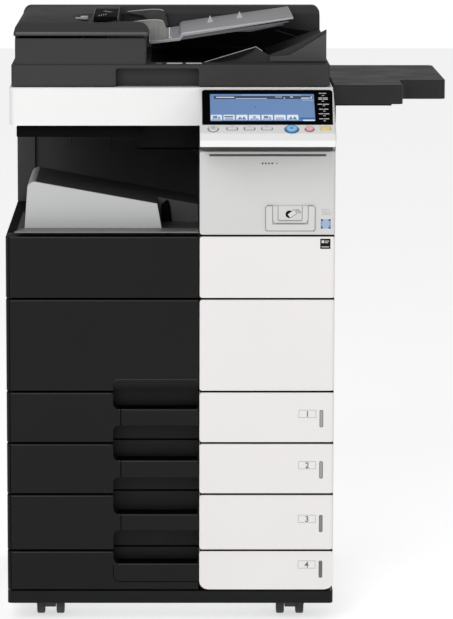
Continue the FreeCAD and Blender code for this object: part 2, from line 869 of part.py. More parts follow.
def hollow_back_from(piece, start, z, depth):
    piece.pocket("XZ", start, depth + 1, rectangle(BLACK_X[0] + D.wall, BLACK_X[1] - D.wall,
                                                   z[0] + D.wall, z[1] - D.wall))


def make_front_right_cover():
    z = (Z_BAY + SEAM, Z_COVER_TOP)
    make_white_panel("front_right_cover", z, D.front_depth)
    low = Z_BAY + D.reader_low
    across = (D.reader_left, D.reader_right)
    pad = Piece("card_reader_pad")
    pad.pad("XZ", -D.reader_proud, -D.reader_seat, rectangle(*across, low, low + D.reader_height))
    pad.fillet(D.panel_corner, lambda e: runs_along(e, "y"))
    pad.pocket("XZ", -D.reader_proud - 1, D.reader_sink - D.reader_proud,
               rectangle(across[0] + D.reader_frame, across[1] - D.reader_frame,
                         low + D.reader_frame, low + D.reader_height + 1))
    pad.fillet(D.edge / 2, front_rim(-D.reader_proud))


# ---------------------------------------------------------------- exit bay
LINER_RIGHT = D.split_x


def make_exit_bay():
    liner = Piece("exit_bay_liner")
    rear = D.body_depth - D.wall - D.column_depth
    floor = (Z_BAY - D.wall + D.edge, Z_BAY + D.edge)
    column = D.column_width - HALF
    liner.pad("XY", floor[0], floor[1],
              rectangle(D.edge - HALF, LINER_RIGHT, D.door_depth + D.slide_gap, rear))
    top = Z_SCANNER - D.plate - D.edge
    liner.pad("YZ", LINER_RIGHT, LINER_RIGHT + D.wall, rectangle(FRAME_FRONT, rear, floor[0], top))
    liner.pad("XZ", rear, rear + D.wall, rectangle(D.edge - HALF, LINER_RIGHT + D.wall, floor[0], top))
    liner.pad("XZ", rear - D.column_step, rear, rectangle(D.edge - HALF, column, floor[0], top))
    slot_low = Z_BAY + D.exit_slot_rise
    liner.pocket("YZ", LINER_RIGHT - 1, LINER_RIGHT + D.wall + 1,
                 rectangle(D.exit_slot_front, D.exit_slot_rear, slot_low, slot_low + D.exit_slot_height))


def tray_top(x):
    """The height of the sloping exit tray at x."""
    share = (x + D.tray_left) / (D.tray_left - D.tray_right)
    return Z_BAY + D.tray_high - (D.tray_high - D.tray_low) * share


def make_exit_tray():
    plate_low = Z_BAY + D.edge * 2 + D.slide_gap
    bottom = plate_low + D.tray_plate
    span = (D.tray_front, D.tray_front + D.exit_tray_depth)
    outline = [(D.tray_foot_left * -1, bottom), (-D.tray_foot_right, bottom),
               (-D.tray_right, tray_top(-D.tray_right)), (-D.tray_left, tray_top(-D.tray_left))]
    tray = Piece("exit_tray")
    tray.pad("XZ", span[0] + D.tray_face, span[1], outline)
    tray.fillet(D.tray_cap, lambda e: runs_along(e, "y") and lies_at(e, x=-D.tray_left))
    # the low end of the slope, set back from the face, and the plate under it all
    end = LINER_RIGHT - D.slide_gap
    tray.pad("XZ", span[0] + D.tray_setback, span[1],
             [(-D.tray_foot_right - D.wall, bottom), (end, bottom), (end, Z_BAY + D.tray_end),
              (-D.tray_right - D.wall, tray_top(-D.tray_right - D.wall))])
    tray.pad("XY", plate_low, bottom, rectangle(-D.tray_plate_left, end, D.tray_plate_front, span[1]))
    face = Piece("exit_tray_face")
    face.pad("XZ", span[0], span[0] + D.tray_face, outline)
    face.fillet(D.tray_cap, lambda e: runs_along(e, "y") and lies_at(e, x=-D.tray_left))
    face.fillet(D.edge, lambda e: lies_at(e, y=span[0]))


# ---------------------------------------------------------------- scanner
SCAN_LOW = Z_SCANNER + D.glass_gap
SCAN_FRONT = ZERO
SCAN_REAR = D.body_depth - D.wall


def make_scanner():
    left = -D.scanner_left
    right = D.scanner_right
    wall = D.scanner_wall
    housing = Piece("scanner_housing")
    housing.pad("XY", SCAN_LOW, Z_GLASS, rectangle(left, right, SCAN_FRONT, SCAN_REAR))
    housing.fillet(D.scanner_corner, lambda e: upright(left, SCAN_FRONT)(e) or upright(right, SCAN_FRONT)(e))
    housing.fillet(D.edge * 2, lambda e: lies_at(e, z=Z_GLASS) or lies_at(e, z=SCAN_LOW))
    roof = Z_GLASS - D.scanner_roof
    housing.pocket("XY", SCAN_LOW - 1, roof, rectangle(left + wall, right - wall,
                                                       SCAN_FRONT + wall, SCAN_REAR - wall))
    glass_x = (-D.glass_left, D.glass_width - D.glass_left)
    glass_y = (D.glass_front, D.glass_front + D.glass_depth)
    ledge = D.glass_ledge
    housing.pocket("XY", roof - 1, Z_GLASS + 1, rectangle(glass_x[0] + ledge, glass_x[1] - ledge,
                                                          glass_y[0] + ledge, glass_y[1] - ledge))
    gap = D.glass_gap
    seat = Z_GLASS - D.glass_thickness
    housing.pocket("XY", seat, Z_GLASS + 1, rectangle(glass_x[0] - gap, glass_x[1] + gap,
                                                      glass_y[0] - gap, glass_y[1] + gap))
    glass = Piece("platen_glass")
    glass.pad("XY", seat, Z_GLASS, rectangle(*glass_x, *glass_y))
    carriage = Piece("scan_carriage")
    start = left + wall + D.carriage_ledge
    top = roof - D.carriage_top_gap
    carriage.pad("XY", top - D.carriage_height, top,
                 rectangle(start, start + D.carriage_width, D.glass_front - D.carriage_ledge,
                           D.glass_front + D.glass_depth + D.carriage_ledge))
    carriage.pocket("XY", top - D.carriage_slot_depth, top + 1,
                    rectangle(start + D.carriage_ledge, start + D.carriage_width - D.carriage_ledge,
                              D.glass_front, D.glass_front + D.glass_depth))
    carriage.fillet(D.edge, lambda e: runs_along(e, "y") and lies_at(e, z=top - D.carriage_height))


# ---------------------------------------------------------------- document feeder
FEED_REAR = D.body_depth - D.feeder_rear
LID_REAR = D.feeder_front + D.feed_depth
LID_PIVOT_X = D.panel_corner + D.lid_pivot_x - D.feeder_left
LID_PIVOT_Z = Z_LID + D.lid_pivot_z
LID_EARS = (D.lid_ear_front, D.lid_ear_rear)
DOCUMENT_PIVOT_X = D.document_pivot - D.document_left
DOCUMENT_PIVOT_Z = Z_FEED + D.document_low - D.document_thickness / 2
DOCUMENT_EAR = (D.document_front - D.slide_gap - D.document_ear, D.document_front - D.slide_gap)


def make_feeder_base():
    x = (-D.feeder_left, D.feeder_right)
    y = (D.feeder_front, FEED_REAR)
    base = Piece("feeder_base_shell", own_part=False)
    base.pad("XY", Z_FEEDER, Z_FEED, rectangle(*x, *y))
    base.fillet(D.front_corner, lambda e: upright(x[0], y[0])(e) or upright(x[1], y[0])(e))
    recess_top = Z_FEEDER + D.feeder_recess_height
    recess_x = (-D.feeder_recess_left, D.feeder_recess_right)
    base.pocket("XZ", y[0] - 1, y[0] + D.feeder_recess_depth,
                rectangle(*recess_x, Z_FEEDER - 1, recess_top))
    base.fillet(D.grip_corner / 2, lambda e: runs_along(e, "y") and lies_at(e, z=recess_top))
    base.fillet(D.edge, front_rim(y[0], x[0] + D.front_corner, x[1] - D.front_corner))
    add_output_surface(base)
    gap = D.glass_gap * 2
    base.pocket("XY", Z_FEEDER - 1, Z_FEEDER + D.pad_thickness,
                rectangle(-D.glass_left - gap, D.glass_width - D.glass_left + gap,
                          D.glass_front - gap, D.glass_front + D.glass_depth + gap))
    base.pocket("XY", Z_FEEDER + D.pad_thickness + D.wall, Z_FEED + 1,
                rectangle(D.wall - D.feed_left, -D.feed_right - D.wall,
                          y[0] + D.feeder_recess_depth + D.wall, LID_REAR - D.wall))
    knuckles = [moving_knuckle(side, start) for side, start in hinge_places()]
    as_part(group("feeder_base_group", [base.body] + knuckles), "feeder_base")
    pad = Piece("platen_pad")
    pad.pad("XY", Z_GLASS + D.glass_gap, Z_FEEDER + D.pad_thickness,
            rectangle(-D.glass_left, D.glass_width - D.glass_left,
                      D.glass_front, D.glass_front + D.glass_depth))
    pad.fillet(D.edge, lambda e: runs_along(e, "z"))


def add_output_surface(base):
    """The surface that fed originals land on: a rising right end behind a shaped front wall."""
    right = D.feeder_right - D.edge * 3
    front = D.feeder_front + D.riser_front
    base.pad("XZ", front, front + D.riser_wall,
             [(D.riser_left, Z_FEED), (right, Z_FEED), (right, Z_FEED + D.riser_height),
              (D.riser_bend_x, Z_FEED + D.riser_bend), (D.riser_valley_x, Z_FEED + D.riser_valley),
              (D.riser_peak_x, Z_FEED + D.riser_peak)])
    base.pad("XZ", front + D.riser_wall, D.hump_front,
             [(D.riser_valley_x, Z_FEED), (right, Z_FEED), (right, Z_FEED + D.riser_height - D.riser_sink)])


def make_feed_housing():
    housing = Piece("feed_housing")
    x = (-D.feed_left, -D.feed_right)
    y = (D.feeder_front + D.edge * 2, LID_REAR)
    top = Z_FEED + D.feed_height
    housing.pad("XY", Z_FEED, top, rectangle(*x, *y))
    housing.fillet(D.panel_corner, lambda e: upright(x[0], y[0])(e) or upright(x[1], y[0])(e))
    housing.fillet(D.edge, lambda e: lies_at(e, z=top))
    wall = D.wall * 2
    housing.pocket("XY", Z_FEED + D.wall, top + 1, rectangle(x[0] + wall, x[1] - wall,
                                                             y[0] + wall, y[1] - wall))
    # the right wall is low where the document tray and its guides reach in
    housing.pocket("XY", top - D.feed_notch, top + 1,
                   rectangle(x[1] - wall - 1, x[1] + 1, D.document_front - D.edge, y[1] - wall))
    # ears that the lid and the document tray turn in
    reach = D.lid_ear_radius
    for start in LID_EARS:
        housing.pad("XZ", start, start + D.lid_ear,
                    rectangle(LID_PIVOT_X - reach, LID_PIVOT_X + reach, top - D.edge, LID_PIVOT_Z + reach))
    housing.pocket("XZ", LID_EARS[0] - 1, LID_EARS[1] + D.lid_ear + 1,
                   circles=[((LID_PIVOT_X, LID_PIVOT_Z), D.small_pin + D.running_gap)])
    ear = DOCUMENT_EAR
    housing.pad("XZ", *ear, rectangle(x[1] - 1, DOCUMENT_PIVOT_X + reach,
                                      DOCUMENT_PIVOT_Z - reach, DOCUMENT_PIVOT_Z + reach))
    housing.pocket("XZ", ear[0] - 1, ear[1] + 1,
                   circles=[((DOCUMENT_PIVOT_X, DOCUMENT_PIVOT_Z), D.small_pin + D.running_gap)])


def make_feeder_lid():
    """The cover over the feed rollers, sloped at its left end and along its front."""
    x = (-D.feeder_left + D.panel_corner, -D.feed_right + D.panel_corner)
    along = Piece("lid_along", own_part=False)
    along.pad("XZ", D.feeder_front - D.panel_corner, LID_REAR,
              [(x[0], Z_LID), (x[1], Z_LID), (x[1], Z_TOP - D.lid_lip), (x[1] - D.lid_lip, Z_TOP),
               (x[0] + D.lid_slope_x, Z_TOP), (x[0] + D.lid_slope_x / 4, Z_TOP - D.lid_lip / 2),
               (x[0], Z_LID + D.lid_lip)])
    across = Piece("lid_across", own_part=False)
    front = D.feeder_front - D.panel_corner
    across.pad("YZ", x[0] - 1, x[1] + 1,
               [(front, Z_LID), (LID_REAR, Z_LID), (LID_REAR, Z_TOP), (front + D.lid_slope_y * 2, Z_TOP),
                (front + D.lid_slope_y, Z_TOP - D.lid_lip / 3), (front + D.panel_corner, Z_LID + D.lid_lip),
                (front, Z_LID + D.lid_lip)])
    shape = doc.addObject("Part::Common", "lid_shape")
    shape.Base = along.body
    shape.Tool = across.body
    wall = D.wall
    inside = box("lid_inside", (x[0] + D.lid_slope_x / 2, -D.lid_entry - wall),
                 (front + D.lid_slope_y / 2, LID_REAR - wall), (Z_LID - 1, Z_TOP - D.lid_lip))
    entry = box("lid_entry", (-D.lid_entry, x[1] + 1), (front + D.lid_rim, LID_REAR + 1),
                (Z_LID - 1, Z_TOP + 1))
    spaces = [inside, entry]
    pins = []
    for index, start in enumerate(LID_EARS):
        slot = (start - D.ear_clearance, start + D.lid_ear + D.ear_clearance)
        room = D.lid_ear_radius * 2 - D.slide_gap
        spaces.append(box("lid_slot_%d" % index, (x[0] - 1, LID_PIVOT_X + room), slot,
                          (Z_LID - 1, LID_PIVOT_Z + room)))
        pins.append(rod("lid_pin_%d" % index, "y", (LID_PIVOT_X, LID_PIVOT_Z), slot[0], slot[1] - slot[0],
                        D.small_pin))
    as_part(fuse("lid_solid", [cut("lid_cut", shape, fuse("lid_spaces", spaces))] + pins), "feeder_lid")


def make_hump():
    """The long rear cover of the feeder, which holds its hinges and motor."""
    hump = Piece("feeder_rear_cover")
    front = D.hump_front
    rear = front + D.hump_depth
    top = Z_FEED + D.hump_height
    x = (-D.feed_left, D.feeder_right - D.edge * 2)
    hump.pad("YZ", x[0], x[1],
             [(front, Z_FEED), (rear, Z_FEED), (rear, Z_FEED + D.hump_height / 2),
              (rear - D.hump_depth / 3, top), (front + D.hump_corner, top), (front, top - D.hump_corner)])
    hump.fillet(D.hump_corner, lambda e: lies_at(e, x=x[0], z=top) or lies_at(e, x=x[1], z=top))
    hump.fillet(D.hump_corner / 2, lambda e: runs_along(e, "x") and lies_at(e, z=top))
    hump.pocket("XZ", front - 1, front + D.document_ear + 1,
                circles=[((DOCUMENT_PIVOT_X, DOCUMENT_PIVOT_Z), D.small_pin + D.running_gap)])


HINGE_Y = FEED_REAR + D.hinge_space
HINGE_Z = Z_GLASS + D.hinge_radius


def hinge_places():
    """The start of each hinge along X."""
    yield "left", D.hinge_inset - D.feeder_left
    yield "right", D.feeder_right - D.hinge_inset - D.knuckle_length


def make_feeder_hinges():
    """Fixed knuckles on the scanner, each pair with a pin that carries the feeder."""
    solids = []
    side_length = D.knuckle_length / 2
    for side, start in hinge_places():
        ends = (start - D.knuckle_gap - side_length, start + D.knuckle_length + D.knuckle_gap)
        pieces = [rod("pin_" + side, "x", (HINGE_Y, HINGE_Z), ends[0],
                      D.knuckle_length * 2 + D.knuckle_gap * 2, D.hinge_pin)]
        for end, x in zip("ab", ends):
            pieces.append(rod("fixed_knuckle_%s_%s" % (side, end), "x", (HINGE_Y, HINGE_Z), x,
                              side_length, D.hinge_radius))
            pieces.append(box("hinge_foot_%s_%s" % (side, end), (x, x + side_length),
                              (HINGE_Y - D.hinge_radius, HINGE_Y + D.hinge_radius), (Z_GLASS, HINGE_Z)))
        solids.append(fuse("hinge_" + side, pieces))
    as_part(group("feeder_hinge_group", solids), "feeder_hinges")


def moving_knuckle(side, start):
    """A knuckle on the feeder's rear edge, turning on the fixed pin."""
    span = (start, start + D.knuckle_length)
    barrel = rod("moving_barrel_" + side, "x", (HINGE_Y, HINGE_Z), start, D.knuckle_length, D.hinge_radius)
    web = box("moving_web_" + side, span, (FEED_REAR, HINGE_Y), (HINGE_Z, HINGE_Z + D.hinge_radius))
    bore = rod("moving_bore_" + side, "x", (HINGE_Y, HINGE_Z), start - 1, D.knuckle_length + 2,
               D.hinge_pin + D.running_gap)
    return cut("moving_knuckle_" + side, fuse("moving_solid_" + side, [barrel, web]), bore)


def document_top(x):
    """The height of the document tray's upper face at x."""
    share = (x + D.document_left) / (D.document_right + D.document_left)
    return Z_FEED + D.document_low + D.document_rise * share


def make_document_tray():
    tray = Piece("document_tray")
    left = -D.document_left
    right = D.document_right
    thick = D.document_thickness
    tray.pad("XZ", D.document_front, D.document_rear,
             [(left, document_top(left) - thick), (right, document_top(right) - thick),
              (right, document_top(right)), (left, document_top(left))])
    tray.fillet(D.edge, lambda e: runs_along(e, "y") and lies_at(e, x=right))
    tray.pad("XZ", DOCUMENT_EAR[0], D.hump_front + D.document_ear,
             circles=[((DOCUMENT_PIVOT_X, DOCUMENT_PIVOT_Z), D.small_pin)])
    middle = (D.document_front + D.document_rear) / 2
    make_guide("front", middle - D.guide_space / 2 - D.wall)
    make_guide("rear", middle + D.guide_space / 2)


def make_guide(side, near):
    """A sheet guide that stands on the tray and reaches over the feed housing."""
    guide = Piece("document_guide_" + side)
    foot = -D.document_left + D.edge
    right = -D.guide_right
    over = Z_FEED + D.feed_height + D.guide_over
    top = Z_FEED + D.guide_top
    guide.pad("XZ", near, near + D.wall,
              [(foot, document_top(foot) + D.slide_gap), (right, document_top(right) + D.slide_gap),
               (right, top), (-D.guide_left, top - D.guide_over), (-D.guide_left, over), (foot, over)])


# ---------------------------------------------------------------- operation panel
PANEL_X = (D.split_x, D.panel_right)
ROUND_KEYS = [
    ("power_key", (D.power_x, D.power_row), D.power_radius),
    ("start_key", (D.start_x, D.start_row), D.start_radius),
    ("stop_key", (D.stop_x, D.stop_row), D.stop_radius),
]
WIDE_KEYS = [
    ("register_key_1", D.register_x),
    ("register_key_2", D.register_x + D.register_pitch),
    ("register_key_3", D.register_x + D.register_pitch * 2),
    ("reset_key", D.reset_x),
]


def wide_key_outline(x, margin):
    """A wide key's outline, or with a margin the opening round it."""
    across = D.wide_key_width / 2 + margin
    along = D.wide_key_height / 2 + margin
    return rectangle(x - across, x + across, D.wide_key_row - along, D.wide_key_row + along)


def finish_key(key):
    key.fillet(D.edge / 2, lambda e: lies_at(e, z=D.key_proud))
    tilt(key.body)


def tilt(thing):
    """Leans a piece that was drawn flat, with its front face edge on Y = 0 and face on Z = 0."""
    thing.Placement = FreeCAD.Placement(V(), FreeCAD.Rotation(V(1, 0, 0), number(D.panel_tilt)))
    bind(thing, "Placement.Rotation.Angle", D.panel_tilt)
    bind(thing, "Placement.Base.x", SHIFT_X)
    bind(thing, "Placement.Base.y", SHIFT_Y - D.panel_front)
    bind(thing, "Placement.Base.z", Z_SCANNER)


def lug_places():
    """The start of each hinge lug along X."""
    yield "left", D.split_x + D.lug_inset
    yield "right", D.panel_right - D.lug_inset - D.lug_width


def make_panel():
    housing = Piece("panel_shell", own_part=False)
    length = D.panel_length
    housing.pad("YZ", *PANEL_X, [(ZERO, ZERO), (length, ZERO),
                                 (length - D.panel_back_cut, -D.panel_thickness),
                                 (D.panel_corner, -D.panel_belly),
                                 (-D.panel_nose, -D.panel_nose_drop),
                                 (D.nose_slant - D.panel_nose, -D.panel_nose_rise)])
    housing.fillet(D.edge * 2, lambda e: runs_along(e, "x") and (lies_at(e, y=-D.panel_nose) or
                                                                 lies_at(e, y=ZERO, z=ZERO)))
    housing.fillet(D.panel_corner, lambda e: lies_at(e, x=PANEL_X[1]) and e.BoundBox.YMax < 1)
    gap = D.glass_gap
    housing.pocket("XY", -D.screen_thickness - D.screen_recess, Size("1"),
                   rectangle(D.screen_left - gap, D.screen_right + gap,
                             D.screen_low - gap, D.screen_high + gap))
    well = -D.key_depth - D.key_travel
    for label, centre, radius in ROUND_KEYS:
        housing.pocket("XY", well, Size("1"), circles=[(centre, radius + D.key_gap)])
    for label, x in WIDE_KEYS:
        housing.pocket("XY", well, Size("1"), wide_key_outline(x, D.key_gap))
    solids = [housing.body]
    for side, start in lug_places():
        span = (start, start + D.lug_width)
        lug = box("panel_lug_" + side, span, (D.pivot_run - D.pivot_lug, D.pivot_run + D.pivot_lug),
                  (-D.pivot_depth - D.pivot_lug, D.edge - D.panel_thickness))
        bore = rod("lug_bore_" + side, "x", (D.pivot_run, -D.pivot_depth), start - 1, D.lug_width + 2,
                   D.pivot_pin + D.running_gap)
        solids.append(cut("lug_cut_" + side, lug, bore))
    parts.append(fuse("panel_fuse", solids))
    parts[-1].Label = "panel_housing"
    tilt(parts[-1])
    screen = Piece("touch_screen")
    screen.pad("XY", -D.screen_thickness - D.screen_recess, -D.screen_recess,
               rectangle(D.screen_left, D.screen_right, D.screen_low, D.screen_high))
    screen.fillet(D.edge, lambda e: runs_along(e, "z"))
    tilt(screen.body)
    for label, centre, radius in ROUND_KEYS:
        key = Piece(label)
        key.pad("XY", -D.key_depth, D.key_proud, circles=[(centre, radius)])
        finish_key(key)
    for label, x in WIDE_KEYS:
        key = Piece(label)
        key.pad("XY", -D.key_depth, D.key_proud, wide_key_outline(x, ZERO))
        key.fillet(D.wide_key_corner, lambda e: runs_along(e, "z"))
        finish_key(key)


PIVOT_Y = Size("(Dims.pivot_run * cos(Dims.panel_tilt) + Dims.pivot_depth * sin(Dims.panel_tilt)"
               " - Dims.panel_front)")
PIVOT_Z = Z_SCANNER + Size("(Dims.pivot_run * sin(Dims.panel_tilt)"
                           " - Dims.pivot_depth * cos(Dims.panel_tilt))")


def make_panel_bracket():
    """The fixed arm under the panel, with two pins that the panel's lugs turn on."""
    reach = D.pivot_lug
    low = Z_COVER_TOP + D.edge * 4
    left = D.split_x + D.wall
    right = D.panel_right - D.wall
    pieces = [box("bracket_bar", (left, right), (PIVOT_Y - reach, D.front_depth),
                  (low, low + D.bracket_height))]
    for side, start in lug_places():
        ear = start - D.lug_width - D.slide_gap if side == "left" else start + D.lug_width + D.slide_gap
        pieces.append(box("bracket_ear_" + side, (ear, ear + D.lug_width), (PIVOT_Y - reach, PIVOT_Y + reach),
                          (low, PIVOT_Z + D.panel_corner)))
        pin = ear if side == "left" else start
        pieces.append(rod("bracket_pin_" + side, "x", (PIVOT_Y, PIVOT_Z), pin, D.lug_width * 2 + D.slide_gap,
                          D.pivot_pin))
    as_part(fuse("bracket_group", pieces), "panel_bracket")


# ---------------------------------------------------------------- work table
def make_work_table():
    top = Z_GLASS + D.slide_gap
    low = top - D.table_thickness
    table = Piece("table_slab", own_part=False)
    table.pad("XY", low, top, [(D.table_left, D.table_front), (D.table_split, D.table_front),
                               (D.table_split, D.table_step), (D.table_reach, D.table_step),
                               (D.table_reach, D.table_rear), (D.table_left, D.table_rear)])
    table.fillet(D.table_corner, lambda e: runs_along(e, "z") and not lies_at(e, x=D.table_left))
    table.fillet(D.edge, lambda e: lies_at(e, z=top))
    solids = [table.body]
    for index, y in enumerate((D.arm_front, D.arm_rear)):
        span = (y, y + D.arm_width)
        plate = box("arm_plate_%d" % index, (HALF, HALF + D.arm_plate), span, (low - D.arm_drop, low))
        bar = box("arm_bar_%d" % index, (HALF, HALF + D.arm_reach), span, (low - D.arm_plate * 2, low))
        solids.append(fuse("arm_%d" % index, [plate, bar]))
    as_part(group("work_table_group", solids), "work_table")


# ---------------------------------------------------------------- inner units and side door
def make_inner_units():
    drum = Piece("photoconductor_drum")
    front = D.drum_front
    rear = front + D.drum_length
    stub = D.bearing_depth + D.slide_gap
    shaft = D.shaft_radius
    drum.turn("YZ", D.drum_x, (ZERO, DRUM_Z), "H_Axis",
              [(front - stub, ZERO), (rear + stub, ZERO), (rear + stub, shaft), (rear, shaft),
               (rear, D.drum_radius), (front, D.drum_radius), (front, shaft), (front - stub, shaft)])
    toner = Piece("toner_cartridge")
    neck = D.toner_radius / 2
    end = D.body_depth - D.toner_rear_space
    toner.turn("YZ", D.toner_x, (ZERO, Z_DECK + D.plate / 2 + D.toner_radius), "H_Axis",
               [(front, ZERO), (end + neck, ZERO), (end + neck, neck), (end, neck),
                (end, D.toner_radius), (front, D.toner_radius)])
    fuser = Piece("fuser_unit")
    fuser.pad("XY", Z_BAY, Z_BAY + D.fuser_height,
              rectangle(D.fuser_left, D.fuser_right, D.fuser_front, D.body_depth - D.fuser_rear_space))
    fuser.fillet(D.panel_corner, lambda e: runs_along(e, "y"))


def side_pivot(low):
    """The axis, as (x, z), of a flap in the right side whose lower edge is at low."""
    return HALF - D.wall / 2, low + D.wall / 2


def add_side_pin(piece, y, low):
    """A pin that sticks out of both ends of a flap, along its lower edge."""
    piece.pad("XZ", y[0] - D.side_pin_length, y[1] + D.side_pin_length,
              circles=[(side_pivot(low), D.side_pin)])


def bore_for_pin(piece, y, low):
    """The bores, in the plate round a flap, for the flap's pin."""
    reach = D.side_pin_length + 1
    piece.pocket("XZ", y[0] - reach, y[1] + reach, circles=[(side_pivot(low), D.side_pin + D.running_gap)])


def make_side_door():
    gap = D.side_gap
    x = (HALF - D.wall, HALF)
    y = (D.side_door_front + gap, SIDE_DOOR_REAR - gap)
    z = (Z_TRAY_1 + D.side_door_low + gap, Z_BAY - D.side_door_high - gap)
    hole = (y[0] + D.bypass_front, y[1] - D.bypass_rear_space, z[0] + D.bypass_low, z[0] + D.bypass_high)
    door = Piece("right_door")
    door.pad("YZ", *x, rectangle(*y, *z))
    door.pocket("YZ", x[0] - 1, x[1] + 1, rectangle(*hole))
    tray_y = (hole[0] + gap, hole[1] - gap)
    tray_low = hole[2] + gap
    bore_for_pin(door, tray_y, tray_low)
    add_side_pin(door, y, z[0])
    tray = Piece("bypass_tray")
    tray.pad("YZ", *x, rectangle(*tray_y, tray_low, hole[3] - gap))
    add_side_pin(tray, tray_y, tray_low)


make_base_cover()
make_cabinet_frame()
make_main_frame()
make_side_covers()
make_rear_cover()
make_power_unit()
make_casters()
make_drawers()
make_doors()
make_front_right_cover()
make_exit_bay()
make_exit_tray()
make_scanner()
make_feeder_base()
make_feed_housing()
make_feeder_lid()
make_hump()
make_feeder_hinges()
make_document_tray()
make_panel()
make_panel_bracket()
make_work_table()
make_inner_units()
make_side_door()
doc.recompute()

for thing in doc.Objects:
    if "Invalid" in thing.State or "Error" in thing.State:
        raise RuntimeError("%s failed to compute" % thing.Name)
for pocket in pockets:
    if pocket.Shape.Volume > pocket.BaseFeature.Shape.Volume - 1:
        raise RuntimeError("%s cuts nothing" % pocket.Name)
for thing in parts:
    if thing.Shape.isNull() or not thing.Shape.isValid():
        raise RuntimeError("%s has no valid shape" % thing.Label)

os.makedirs("parts", exist_ok=True)
for thing in parts:
    thing.Shape.exportStep(os.path.join("parts", thing.Label + ".step"))
print("%d sub-parts written" % len(parts))
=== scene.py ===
"""The looks of the photocopier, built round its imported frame.

Lengths in this script are millimetres in the machine's own directions: x from the middle of
the body, y from the front covers to the rear, and z from the floor. The frames below turn
them into the row's metres.
"""
import math

import bmesh
import bpy
from mathutils import Matrix, Vector


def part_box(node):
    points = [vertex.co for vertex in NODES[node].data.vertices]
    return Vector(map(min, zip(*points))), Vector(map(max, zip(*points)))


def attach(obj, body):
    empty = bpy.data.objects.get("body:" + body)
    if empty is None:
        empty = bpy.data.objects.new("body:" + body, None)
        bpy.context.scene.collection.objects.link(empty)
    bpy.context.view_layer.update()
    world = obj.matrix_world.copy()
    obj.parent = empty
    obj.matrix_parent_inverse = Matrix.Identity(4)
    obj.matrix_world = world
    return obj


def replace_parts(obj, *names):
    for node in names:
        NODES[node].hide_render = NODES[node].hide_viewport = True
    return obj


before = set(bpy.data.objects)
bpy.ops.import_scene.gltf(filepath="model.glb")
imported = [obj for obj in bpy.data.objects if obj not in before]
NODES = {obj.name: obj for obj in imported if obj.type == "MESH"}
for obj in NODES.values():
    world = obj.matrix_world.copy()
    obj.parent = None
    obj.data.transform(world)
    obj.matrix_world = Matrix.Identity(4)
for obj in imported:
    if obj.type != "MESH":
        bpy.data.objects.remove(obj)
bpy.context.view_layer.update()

# ------------------------------------------------------------------ frames
MM = 0.001


def scaled_frame(x, y, z, turn=None):
    """A frame whose units are millimetres, with its origin at a place in metres."""
    result = Matrix.Translation((x, y, z))
    if turn is not None:
        result = result @ turn
    return result @ Matrix.Scale(MM, 4)


BASE_LOW, BASE_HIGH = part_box("base_cover")
MIDDLE_X = (BASE_LOW.x + BASE_HIGH.x) / 2
FRONT_Y = BASE_LOW.y
MACHINE = scaled_frame(MIDDLE_X, FRONT_Y, 0)
TO_MM = MACHINE.inverted()


def node_box(node):
    """The lowest and highest corners of a CAD node, in the machine's millimetres."""
    low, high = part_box(node)
    return TO_MM @ low, TO_MM @ high


# the panel's own frame: x as the machine's, y up its sloping face, z out of the face
TILT = math.radians(28.1)
SCREEN_LOW_EDGE = 34
SCREEN_RECESS = 0.6
SCREEN_BACK = 4.6
SCREEN_CORNER = node_box("touch_screen")[0]
PANEL_Y = SCREEN_CORNER.y - SCREEN_LOW_EDGE * math.cos(TILT) - SCREEN_RECESS * math.sin(TILT)
PANEL_Z = SCREEN_CORNER.z - SCREEN_LOW_EDGE * math.sin(TILT) + SCREEN_BACK * math.cos(TILT)
PANEL = MACHINE @ Matrix.Translation((0, PANEL_Y, PANEL_Z)) @ Matrix.Rotation(TILT, 4, "X")


# ------------------------------------------------------------------ materials
def node_material(name, base, rough, metallic=0.0):
    """A material with its shader and a place to add nodes."""
    material = bpy.data.materials.new(name)
    material.use_nodes = True
    tree = material.node_tree
    shader = tree.nodes["Principled BSDF"]
    shader.inputs["Base Color"].default_value = (*base, 1)
    shader.inputs["Roughness"].default_value = rough
    shader.inputs["Metallic"].default_value = metallic
    return material, tree, shader


def coordinates(tree, stretch=(1, 1, 1)):
    """Object coordinates, which are the row's metres, with an optional stretch."""
    source = tree.nodes.new("ShaderNodeTexCoord")
    mapping = tree.nodes.new("ShaderNodeMapping")
    mapping.inputs["Scale"].default_value = stretch
    tree.links.new(source.outputs["Object"], mapping.inputs["Vector"])
    return mapping.outputs["Vector"]


def noise(tree, vector, scale, detail=3.0, rough=0.5):
    node = tree.nodes.new("ShaderNodeTexNoise")
    node.inputs["Scale"].default_value = scale
    node.inputs["Detail"].default_value = detail
    node.inputs["Roughness"].default_value = rough
    tree.links.new(vector, node.inputs["Vector"])
    return node.outputs["Fac"]


def ramp(tree, value, stops):
    node = tree.nodes.new("ShaderNodeValToRGB")
    elements = node.color_ramp.elements
    for index, (place, colour) in enumerate(stops):
        element = elements[index] if index < 2 else elements.new(place)
        element.position = place
        element.color = (*colour, 1)
    tree.links.new(value, node.inputs["Fac"])
    return node.outputs["Color"]


def level(tree, value, low, high):
    """Turns a 0 to 1 value into one between low and high."""
    node = tree.nodes.new("ShaderNodeMapRange")
    node.inputs["From Min"].default_value = 0.3
    node.inputs["From Max"].default_value = 0.7
    node.inputs["To Min"].default_value = low
    node.inputs["To Max"].default_value = high
    tree.links.new(value, node.inputs["Value"])
    return node.outputs["Result"]


